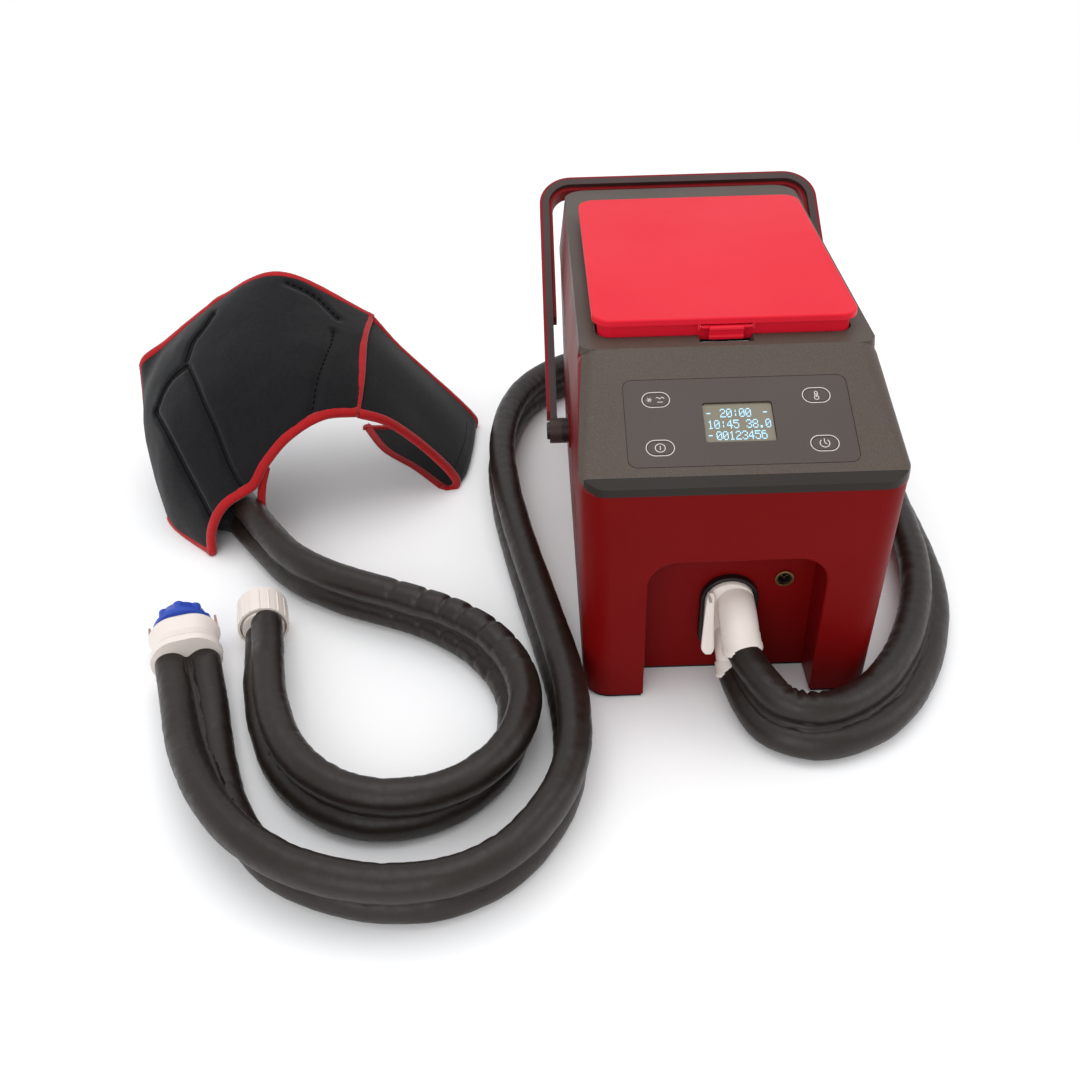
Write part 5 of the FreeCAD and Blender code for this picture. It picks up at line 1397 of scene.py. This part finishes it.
@dataclass
class ControlPanel:
    """Printed key outlines and symbols, and the lit display, on the sloping face."""

    slope: float = math.radians(23.096)
    origin: tuple[float, float] = (-197.8, 180.2)
    key_x: float = 51.3
    key_low: float = 30.3
    key_high: float = 67.6
    line: float = 0.5
    pane: float = -1.4
    print_high: float = 0.05
    symbol_scale: float = 1.25
    outline: tuple[float, float] = (17.6, 11.8)
    dot: float = 0.62
    dot_high: float = 0.86
    dot_across: float = 0.72
    dot_up: float = 0.98
    sign_pitch: float = 4.05
    bar_half: float = 1.3

    def build(self) -> None:
        """Draws the keys and the display."""
        spots = {"key_mode": (-self.key_x, self.key_high), "key_power": (-self.key_x, self.key_low),
                 "key_temperature": (self.key_x, self.key_high),
                 "key_timer": (self.key_x, self.key_low)}
        for key, (x, s) in spots.items():
            k = self.symbol_scale
            moved = [[(x + k * u, s + k * v) for u, v in stroke] for stroke in self.symbol(key)]
            self.ribbons(key + "_print", moved, self.line, 0.0, "print_white", key)
            outline = [[(x + u, s + v) for u, v in self.pill(*self.outline)]]
            self.ribbons(key + "_outline", outline, self.line, 0.0, "print_white", MACHINE)
        self.display()
        LOG.info("control panel: 4 keys and a display")

    def at(self, x: float, s: float, n: float) -> tuple[float, float, float]:
        """Turns a place on the sloping face into a point.

        Args:
            x: across, in millimetres.
            s: up the slope, in millimetres.
            n: outward from the face, in millimetres.

        Returns:
            The point in metres.
        """
        y = self.origin[0] + s * math.cos(self.slope) - n * math.sin(self.slope)
        z = self.origin[1] + s * math.sin(self.slope) + n * math.cos(self.slope)
        return (x * MM, y * MM, z * MM)

    def pill(self, w: float, h: float) -> list[tuple[float, float]]:
        """Gives the closed outline of a pill.

        Args:
            w: its width.
            h: its height.

        Returns:
            Points round the outline, the first one repeated at the end.
        """
        r = h / 2
        edge = w / 2 - r
        turn = [math.radians(a) for a in range(-90, 91, 10)]
        right = [(edge + r * math.cos(a), r * math.sin(a)) for a in turn]
        outline = right + [(-x, -y) for x, y in right]
        return outline + [outline[0]]

    def ring(self, r: float, start: float, end: float) -> list[tuple[float, float]]:
        """Gives an arc about the key's middle.

        Args:
            r: its radius.
            start: the angle that it starts at, in degrees.
            end: the angle that it ends at, in degrees.

        Returns:
            Points along the arc.
        """
        count = max(4, int(abs(end - start) / 12))
        return [(r * math.cos(math.radians(start + (end - start) * i / count)),
                 r * math.sin(math.radians(start + (end - start) * i / count)))
                for i in range(count + 1)]

    def symbol(self, key: str) -> list[list[tuple[float, float]]]:
        """Gives the strokes of a key's plain symbol.

        Args:
            key: the key's name.

        Returns:
            One list of points for each stroke.
        """
        if key == "key_power":
            return [self.ring(2.5, 0, 360), [(0, -1.2), (0, 1.3)]]
        if key == "key_timer":
            return [self.ring(2.4, 130, 410), [(0, 0.2), (0, 2.8)], [(0, 0.2), (1.1, -0.6)]]
        if key == "key_temperature":
            stem = [(-0.7, -0.6), (-0.7, 1.9), (0, 2.6), (0.7, 1.9), (0.7, -0.6)]
            bulb = [(x, y - 1.6) for x, y in self.ring(1.15, 130, 410)]
            return [stem, bulb, [(0, -1.4), (0, 1.2)]]
        star = [[(-3.4 + 1.5 * math.cos(a), 1.5 * math.sin(a)),
                 (-3.4 - 1.5 * math.cos(a), -1.5 * math.sin(a))]
                for a in (0.0, math.pi / 3, 2 * math.pi / 3)]
        wave = [(0.2 + 0.42 * i, 1.1 + 0.5 * math.sin(i * 1.05)) for i in range(11)]
        return star + [wave, [(0.6, -1.5), (3.6, -1.5)]]

    def ribbons(self, name: str, strokes: list[list[tuple[float, float]]], width: float,
                low: float, finish: str, body: str) -> None:
        """Lays flat printed lines on the face.

        Args:
            name: the piece's name.
            strokes: points of each line across and up the slope.
            width: line width in millimetres.
            low: height of the face under the print.
            finish: the finish's name.
            body: the body that carries it.
        """
        points: list[tuple[float, float, float]] = []
        faces: list[tuple[int, ...]] = []
        high = low + self.print_high
        for stroke in strokes:
            line = np.array(stroke, float)
            t = unit(np.gradient(line, axis=0))
            if len(line) > 2 and np.allclose(line[0], line[-1]):
                t[0] = t[-1] = unit(line[1] - line[-2])
            across = np.stack([-t[:, 1], t[:, 0]], axis=1) * width / 2
            first = len(points)
            for p, a in zip(line, across):
                for q, n in ((p + a, high), (p - a, high), (p - a, low), (p + a, low)):
                    points.append(self.at(float(q[0]), float(q[1]), n))
            faces += bridge(len(line), 4, first) + caps(len(line), 4, first)
        piece = add_mesh(name, np.array(points), faces, PALETTE.get(finish), body)

    def display(self) -> None:
        """Lights rows of plain figures and dashes behind the pane."""
        strokes = []
        rows = (("20:00", 56.6, -1.4), ("10:45 38.0", 47.9, 0.2), ("00123456", 39.2, 0.8))
        for text, s, x in rows:
            start = x - self.sign_pitch * (len(text) - 1) / 2
            for i, sign in enumerate(text):
                if sign == " ":
                    continue
                for r, bits in enumerate(DOTS[sign].split()):
                    for c, bit in enumerate(bits):
                        if bit == "1":
                            u = start + self.sign_pitch * i + (c - 2) * self.dot_across
                            v = s + (3 - r) * self.dot_up
                            strokes.append([(u - self.dot / 2, v), (u + self.dot / 2, v)])
        for u, v in ((-18.6, 56.6), (17.4, 56.6), (-18.8, 39.4)):
            strokes.append([(u - self.bar_half, v), (u + self.bar_half, v)])
        self.ribbons("display_figures", strokes, self.dot_high, self.pane, "display_light",
                     MACHINE)


# ---------------------------------------------------------------------------
# shoulder wrap
# ---------------------------------------------------------------------------
@dataclass
class Pad:
    """A closed padded shell between a front and a back sheet of points."""

    name: str
    front: np.ndarray
    thick: float
    edge: float
    swell: float
    nodes: tuple[str, ...]
    rim_cells: float = 4.0
    floor: float = 0.0004
    cell: float = 0.005
    pressure: float = 4.0
    frames: int = 20

    def build(self) -> bpy.types.Object:
        """Makes the shell and blows it up like a filled pad.

        Returns:
            The pad.
        """
        rows, cols = self.front.shape[:2]
        du = np.gradient(self.front, axis=0)
        dv = np.gradient(self.front, axis=1)
        n = unit(np.cross(dv, du))
        u = np.minimum(np.arange(rows), np.arange(rows)[::-1])[:, None]
        v = np.minimum(np.arange(cols), np.arange(cols)[::-1])[None, :]
        rim = np.clip(np.minimum(u, v) / self.rim_cells, 0.0, 1.0)
        depth = (self.edge + (self.thick - self.edge) * np.sin(rim * math.pi / 2))[..., None]
        top = self.front + 0.5 * (depth - self.thick) * n
        back = top - depth * n
        points = np.vstack([top.reshape(-1, 3), back.reshape(-1, 3)])
        points[:, 2] = np.maximum(points[:, 2], self.floor)
        front_faces = bridge(rows, cols, 0, False)
        back_faces = [f[::-1] for f in bridge(rows, cols, rows * cols, False)]
        border = [i * cols for i in range(rows)]
        border += [(rows - 1) * cols + j for j in range(1, cols)]
        border += [i * cols + cols - 1 for i in range(rows - 2, -1, -1)]
        border += list(range(cols - 2, 0, -1))
        k = rows * cols
        skirt = [(a, b, b + k, a + k) for a, b in zip(border, border[1:] + border[:1])]
        pad = add_mesh(self.name, points, front_faces + back_faces + skirt,
                       PALETTE.get("neoprene"))
        self.face_outward(pad)
        pins = pad.vertex_groups.new(name="sewn")
        sewn = set(border) | {b + k for b in border}
        pins.add(sorted(sewn), 1.0, "REPLACE")
        self.inflate(pad)
        across = np.tile(np.arange(cols) * self.cell, rows)
        along = np.repeat(np.arange(rows) * self.cell, cols)
        lay_out(pad, np.concatenate([across, across]), np.concatenate([along, along]))
        fine = pad.modifiers.new("fine", "SUBSURF")
        fine.levels = 1
        fine.render_levels = 1
        self.settle(pad)
        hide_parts(*self.nodes)
        LOG.info("%s: %d vertices", self.name, len(pad.data.vertices))
        return pad

    def face_outward(self, pad: bpy.types.Object) -> None:
        """Turns the shell's faces so that they all look outward.

        Args:
            pad: the shell.
        """
        mesh = pad.data
        volume = 0.0
        for face in mesh.polygons:
            spots = [mesh.vertices[i].co for i in face.vertices]
            for a, b in zip(spots[1:-1], spots[2:]):
                volume += spots[0].dot(a.cross(b))
        if volume < 0:
            mesh.flip_normals()

    def inflate(self, pad: bpy.types.Object) -> None:
        """Runs a short cloth simulation with the sewn rim held, and keeps its result.

        Args:
            pad: the shell.
        """
        before = rows_of_points(pad)
        cloth = pad.modifiers.new("filling", "CLOTH")
        cloth.settings.vertex_group_mass = "sewn"
        cloth.settings.use_pressure = True
        cloth.settings.uniform_pressure_force = self.pressure
        cloth.settings.effector_weights.gravity = 0.0
        cloth.settings.quality = 6
        cloth.settings.mass = 0.25
        cloth.settings.tension_stiffness = 18.0
        cloth.settings.compression_stiffness = 12.0
        cloth.settings.bending_stiffness = 0.6
        cloth.collision_settings.use_collision = False
        cloth.point_cache.frame_start = 1
        cloth.point_cache.frame_end = self.frames
        for step in range(1, self.frames + 1):
            bpy.context.scene.frame_set(step)
        self.settle(pad)
        bpy.context.scene.frame_set(1)
        moved = rows_of_points(pad) - before
        far = np.linalg.norm(moved, axis=1, keepdims=True)
        moved *= np.minimum(1.0, self.swell / np.maximum(far, 1e-9))
        after = before + moved
        after[:, 2] = np.maximum(after[:, 2], CLOTH_REST)
        write_points(pad, after)

    def settle(self, pad: bpy.types.Object) -> None:
        """Writes the modifiers' result into the mesh and drops them.

        Args:
            pad: the shell.
        """
        bpy.context.view_layer.update()
        shown = pad.evaluated_get(bpy.context.evaluated_depsgraph_get())
        mesh = bpy.data.meshes.new_from_object(shown)
        pad.modifiers.clear()
        old = pad.data
        pad.data = mesh
        bpy.data.meshes.remove(old)


@dataclass
class Surface:
    """Finds places on a finished pad, and sews things onto it."""

    pad: bpy.types.Object

    def tree(self) -> BVHTree:
        """Gives a search tree of the pad as it is now."""
        mesh = self.pad.data
        return BVHTree.FromPolygons([tuple(v.co) for v in mesh.vertices],
                                    [tuple(f.vertices) for f in mesh.polygons])

    def crease(self, line: np.ndarray, depth: float, width: float) -> None:
        """Draws the pad in along a line.

        Args:
            line: points of the line, near the surface.
            depth: how far it is drawn in, in metres.
            width: how wide the valley is, in metres.
        """
        rows = rows_of_points(self.pad)
        normals = rows_of_normals(self.pad)
        low = line.min(axis=0) - 4 * width
        high = line.max(axis=0) + 4 * width
        near = np.where(((rows > low) & (rows < high)).all(axis=1))[0]
        for i in near:
            d = np.linalg.norm(line - rows[i], axis=1).min()
            rows[i] -= normals[i] * depth * math.exp(-(d / width) ** 2)
        write_points(self.pad, rows)

    def ruffle(self, depth: float, size: float) -> None:
        """Gives the pad soft dents.

        Args:
            depth: how deep the deepest dents are, in metres.
            size: how far apart they lie, in metres.
        """
        rows = rows_of_points(self.pad)
        normals = rows_of_normals(self.pad)
        for i, (x, y, z) in enumerate(rows / size):
            dent = wobble(x, y, z) + 0.4 * wobble(2.3 * x, 2.3 * y, 2.3 * z)
            rows[i] += normals[i] * depth * min(0.3, dent)
        rows[:, 2] = np.maximum(rows[:, 2], CLOTH_REST)
        write_points(self.pad, rows)

    def stitches(self, name: str, line: np.ndarray, thread: Thread, finish: str) -> None:
        """Sews a row of separate stitches along a line on the surface.

        Args:
            name: the piece's name.
            line: points of the line, near the surface.
            thread: the kind of thread.
            finish: the thread's finish.
        """
        long, pitch, radius = thread.value
        length = float(np.linalg.norm(np.diff(line, axis=0), axis=1).sum())
        count = max(2, int(length / pitch))
        spots = evenly(line, count)
        t = tangents(spots)
        tree = self.tree()
        points: list[np.ndarray] = []
        faces: list[tuple[int, ...]] = []
        for spot, way in zip(spots, t):
            hit, normal, _, _ = tree.find_nearest(Vector(spot))
            n = np.array(normal)
            side = np.cross(n, way)
            first = len(points)
            for k, r in ((-0.5, 0.35), (-0.3, 1.0), (0.3, 1.0), (0.5, 0.35)):
                for j in range(6):
                    a = j * math.pi / 3
                    points.append(np.array(hit) + way * k * long
                                  + radius * r * (math.cos(a) * side + math.sin(a) * n))
            faces += bridge(4, 6, first) + caps(4, 6, first)
        piece = add_mesh(name, np.array(points), faces, PALETTE.get(finish))


@dataclass
class Tape:
    """Red binding tape folded over an edge and sewn through."""

    wide: float = 0.0086
    high: float = 0.0066
    around: int = 18
    over_edge: float = 0.0014
    sewn_in: float = 0.0030
    ripple: float = 0.06
    ripple_pitch: float = 0.011
    rib: float = 0.03
    rib_pitch: float = 0.0006
    thinner: float = 0.84
    floor: float = 0.0002

    def fold(self, name: str, line: np.ndarray, inward: np.ndarray, normal: np.ndarray) -> None:
        """Folds tape over an edge.

        Args:
            name: the piece's name.
            line: points along the edge's middle.
            inward: unit vectors from the edge into the cloth.
            normal: unit vectors out of the cloth's face.
        """
        count = len(line)
        t = tangents(line)
        across = unit(inward - (inward * t).sum(axis=1, keepdims=True) * t)
        out = unit(np.cross(t, across))
        flip = np.sign((out * normal).sum(axis=1, keepdims=True))
        out = out * np.where(flip == 0, 1.0, flip)
        rows = np.empty((count, self.around, 3))
        marks = np.empty((count, self.around, 2))
        step = float(np.linalg.norm(np.diff(line, axis=0), axis=1).mean())
        for i in range(count):
            ripple = 1.0 + self.ripple * wobble(i * step / self.ripple_pitch, 1.5)
            ripple += self.rib * math.sin(i * step / self.rib_pitch)
            for j in range(self.around):
                a = 2 * math.pi * j / self.around
                u = rounded(math.cos(a), 0.75) * self.wide / 2
                v = rounded(math.sin(a), 0.85) * self.high / 2
                inner = self.thinner if u > 0.3 * self.wide else 1.0
                rows[i, j] = (line[i] + across[i] * (u + self.wide / 2 - self.over_edge)
                              + out[i] * v * ripple * inner)
                marks[i, j] = (a * self.wide / 3, i * step)
        rows[:, :, 2] = np.maximum(rows[:, :, 2], self.floor)
        faces = bridge(count, self.around) + caps(count, self.around)
        tape = add_mesh(name, rows.reshape(-1, 3), faces, PALETTE.get("binding_red"))
        lay_out(tape, marks[..., 0].reshape(-1), marks[..., 1].reshape(-1))
        sewn = line + across * (self.wide - self.sewn_in) + out * self.high / 2
        Surface(tape).stitches(name + "_stitches", sewn, Thread.FINE, "thread_red")


# upright planes across the arch from near to far, each from the panel's foot to the strap's
# foot; along each plane, the sections give distance and height of the outer face; millimetres
PLANES = (((-397.5, -11), (-202, 77)), ((-447, 40), (-196, 100)),
          ((-476, 100), (-192, 140)), ((-490, 150), (-188, 184)))
PANEL_SECTIONS = (
    ((0, 0.5), (5, 24), (18, 42), (42, 53), (57, 72), (78, 90), (106, 100), (134, 95)),
    ((2, 0.5), (6, 40), (17, 73), (36, 97), (60, 114), (84, 125), (133, 131), (178, 109)),
    ((9.5, 46), (12, 74), (24, 98), (44, 117), (66, 132), (90, 143), (136, 151), (203, 120)),
    ((12, 92), (18, 101), (38, 112), (62, 128), (80, 140), (98, 151), (147, 166), (217, 119)))
STRAP_SECTIONS = (
    ((134, 95), (157, 81), (181, 55), (202, 26), (210, 12), (212.5, 6), (211, 1.6), (206, 0.5)),
    ((178, 109), (201, 87), (224, 57), (246, 27), (255.5, 12), (258.5, 6), (257, 1.6),
     (252, 0.5)),
    ((203, 120), (227, 95), (251, 64), (275, 29), (284.5, 12), (287.5, 6), (286, 1.6),
     (281, 0.5)),
    ((217, 119), (236, 90), (259, 62), (285, 31), (299.5, 12), (302.5, 6), (301, 1.6),
     (296, 0.5)))
# where the strap's flap ends on the floor, in millimetres
FLAP_ENDS = ((-216, 77), (-242, 110), (-273, 143), (-296, 188))
# sewn lines are laid on the side of the cloth that this point sees, in metres
VIEWPOINT = (-0.1275, -0.7734, 0.5753)
# sewn lines near the cloth, in millimetres
FOLDS = (
    ((-421, 93, 120), (-411, 72, 116), (-402, 53, 108), (-392, 37, 92), (-383, 22, 70),
     (-376, 13, 58), (-368, 5, 50)),
    ((-456, 87, 79), (-440, 58, 76), (-422, 30, 58), (-407, 10, 38), (-396, -6, 24)),
    ((-424, 97, 119), (-436, 98, 110), (-446, 93, 99), (-456, 89, 81)),
    ((-408, 151, 141), (-414, 132, 136), (-422, 122, 129), (-425, 104, 121)),
)
SEAMS = (
    ((-341, 162, 163), (-327, 161, 156), (-317, 160, 149), (-309, 156, 142), (-299, 148, 135)),
    ((-300, 125, 133), (-300, 106, 131), (-303, 83, 128), (-307, 59, 120), (-309, 43, 110),
     (-311, 35, 104)),
)
STRAP_SEAM = ((-194, 166, 13), (-195, 139, 13), (-200, 100, 14), (-205, 79, 14))


@dataclass
class ShoulderWrap:
    """The padded wrap standing as an arch, its strap, its hose port, bindings and seams."""

    across: int = 44
    panel_rows: int = 74
    strap_rows: int = 70
    flap_rows: int = 18

    def build(self) -> None:
        """Builds the wrap's pads and then everything sewn onto them."""
        body = self.grid(self.sections(PANEL_SECTIONS), self.panel_rows)
        strap = self.grid(self.sections(STRAP_SECTIONS), self.strap_rows)
        ends = [np.array([*end, 0.5]) * MM for end in FLAP_ENDS]
        flap = self.grid([np.array([strap[-1, j], end]) for j, end in
                          zip((0, 14, 29, self.across - 1), ends)], self.flap_rows)
        strap = np.concatenate([strap, flap[1:]])
        main = Pad("wrap_body", body, thick=0.0070, edge=0.0030, swell=0.006,
                   nodes=("wrap_panel",)).build()
        side = Pad("wrap_side_strap", strap, thick=0.0040, edge=0.0026, swell=0.0015,
                   nodes=("wrap_strap",)).build()
        surface = Surface(main)
        surface.ruffle(depth=0.0016, size=0.045)
        for name, lines, depth, width, thread in (
                ("wrap_fold", FOLDS, 0.0042, 0.0032, Thread.FOLD),
                ("wrap_seam", SEAMS, 0.0034, 0.0036, Thread.SEAM)):
            for k, points in enumerate(lines):
                line = self.dropped(surface, through(np.array(points) * MM, 90))
                surface.crease(line, depth, width)
                surface.stitches(f"{name}_{k}", self.dropped(surface, line), thread,
                                 "thread_black")
        sewn = Surface(side)
        sewn.stitches("strap_end_seam", self.dropped(sewn, through(np.array(STRAP_SEAM) * MM, 60)),
                      Thread.FINE, "thread_black")
        self.bind(body, strap)
        self.port()
        LOG.info("shoulder wrap: %s and %s", main.name, side.name)

    def sections(self, table: tuple) -> list[np.ndarray]:
        """Turns distances along each upright plane, and heights, into points.

        Args:
            table: distance and height pairs for each plane, in millimetres.

        Returns:
            The points of each section, in metres.
        """
        lines = []
        for (start, end), marks in zip(PLANES, table):
            way = unit([end[0] - start[0], end[1] - start[1]])
            lines.append(np.array([(start[0] + way[0] * u, start[1] + way[1] * u, z)
                                   for u, z in marks]) * MM)
        return lines

    def grid(self, sections: list[np.ndarray], rows: int) -> np.ndarray:
        """Spreads a smooth sheet through sections.

        Args:
            sections: points of each section, near to far, in metres.
            rows: how many rows run along each section.

        Returns:
            Points as rows along and columns across, in metres.
        """
        lines = np.array([through(s, rows) for s in sections])
        return np.array([through(lines[:, i], self.across) for i in range(rows)])

    def dropped(self, surface: Surface, line: np.ndarray) -> np.ndarray:
        """Drops a line onto the pad's outer face, as seen from a point in front of the arch.

        Args:
            surface: the pad that it falls on.
            line: points near the pad.

        Returns:
            The points on the pad.
        """
        tree = surface.tree()
        eye = Vector(VIEWPOINT)
        spots = []
        for point in line:
            hit = tree.ray_cast(eye, (Vector(point) - eye).normalized())[0]
            spots.append(tuple(hit or tree.find_nearest(Vector(point))[0]))
        return np.array(spots)

    def edge(self, name: str, line: np.ndarray, inner: np.ndarray, n: np.ndarray,
             shift: float) -> None:
        """Folds tape over one edge of a sheet.

        Args:
            name: the tape's name.
            line: points of the sheet's edge.
            inner: points one row in from the edge.
            n: unit normals of the sheet's face at the edge.
            shift: how far the edge's middle lies under the sheet's face.
        """
        count = max(12, int(np.linalg.norm(np.diff(line, axis=0), axis=1).sum() / 0.0022))
        data = evenly(np.hstack([line - n * shift, inner - line, n]), count)
        Tape().fold(name, data[:, :3], unit(data[:, 3:6]), unit(data[:, 6:]))

    def normals(self, sheet: np.ndarray) -> np.ndarray:
        """Gives the outward normals of a sheet of points."""
        return unit(np.cross(np.gradient(sheet, axis=1), np.gradient(sheet, axis=0)))

    def bind(self, body: np.ndarray, strap: np.ndarray) -> None:
        """Binds the edges of the panel and the strap.

        Args:
            body: the panel's sheet.
            strap: the strap's middle sheet.
        """
        for name, sheet, rim, inner, shift in (
                ("binding_near", body, np.s_[:, 0], np.s_[:, 3], 0.0035),
                ("binding_far", body, np.s_[:, -1], np.s_[:, -4], 0.0035),
                ("binding_floor", body, np.s_[0, :15], np.s_[3, :15], 0.0035),
                ("binding_end", body, np.s_[0, 25:], np.s_[3, 25:], 0.0035),
                ("binding_joint", body, np.s_[-1], np.s_[-4], 0.0030),
                ("binding_strap_near", strap, np.s_[:, 0], np.s_[:, 3], 0.0020),
                ("binding_strap_far", strap, np.s_[:, -1], np.s_[:, -4], 0.0020),
                ("binding_flap", strap, np.s_[-1], np.s_[-4], 0.0020)):
            self.edge(name, sheet[rim], sheet[inner], self.normals(sheet)[rim], shift)
        foot = through(np.array([(-349, 11, 68), (-354, 8, 52), (-356.5, 5, 36), (-355, 2, 20),
                                 (-353, -1, 5)]) * MM, 34)
        side = np.tile([-0.35, 0.94, 0.0], (34, 1))
        Tape().fold("binding_port_foot", foot, side, np.tile([0.94, 0.35, 0.0], (34, 1)))

    def port(self) -> None:
        """Makes the soft pouch that takes the hose into the panel."""
        rings, around = 40, 28
        middle = through(np.array([(-379, 17, 22.5), (-393, 29, 18), (-409, 42, 12),
                                   (-424, 52, 8.5)]) * MM, rings)
        share = np.linspace(0, 1, rings)
        wide = np.interp(share, [0, 0.3, 0.7, 1], [14, 21, 23, 17]) * MM
        high = np.interp(share, [0, 0.3, 0.7, 1], [22, 18, 10, 5]) * MM
        t = tangents(middle)
        left = unit(np.cross(np.array([0.0, 0.0, 1.0]), t))
        up = np.cross(t, left)
        rows = np.empty((rings, around, 3))
        marks = np.empty((rings, around, 2))
        for i in range(rings):
            for j in range(around):
                a = 2 * math.pi * j / around
                r = 1.0 + 0.05 * wobble(i * 0.25, a * 1.3, 4.0)
                rows[i, j] = (middle[i] + left[i] * wide[i] * r * math.cos(a)
                              + up[i] * high[i] * r * math.sin(a))
                marks[i, j] = (a * 0.02, i * 0.003)
        rows[:, :, 2] = np.maximum(rows[:, :, 2], 0.0004)
        pouch = add_mesh("hose_port_pouch", rows.reshape(-1, 3),
                         bridge(rings, around) + caps(rings, around), PALETTE.get("neoprene"))
        lay_out(pouch, marks[..., 0].reshape(-1), marks[..., 1].reshape(-1))
        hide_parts("wrap_inlet")


def main() -> None:
    """Builds the studio, the hoses, the machine and the wrap, in that order."""
    logging.basicConfig(level=logging.INFO, format="%(name)s: %(message)s")
    Studio().build()
    Hoses().build()
    Machine().build()
    Latch().build()
    HosePlug().build()
    ControlPanel().build()
    ShoulderWrap().build()
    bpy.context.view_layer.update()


if __name__ == "__main__":
    main()
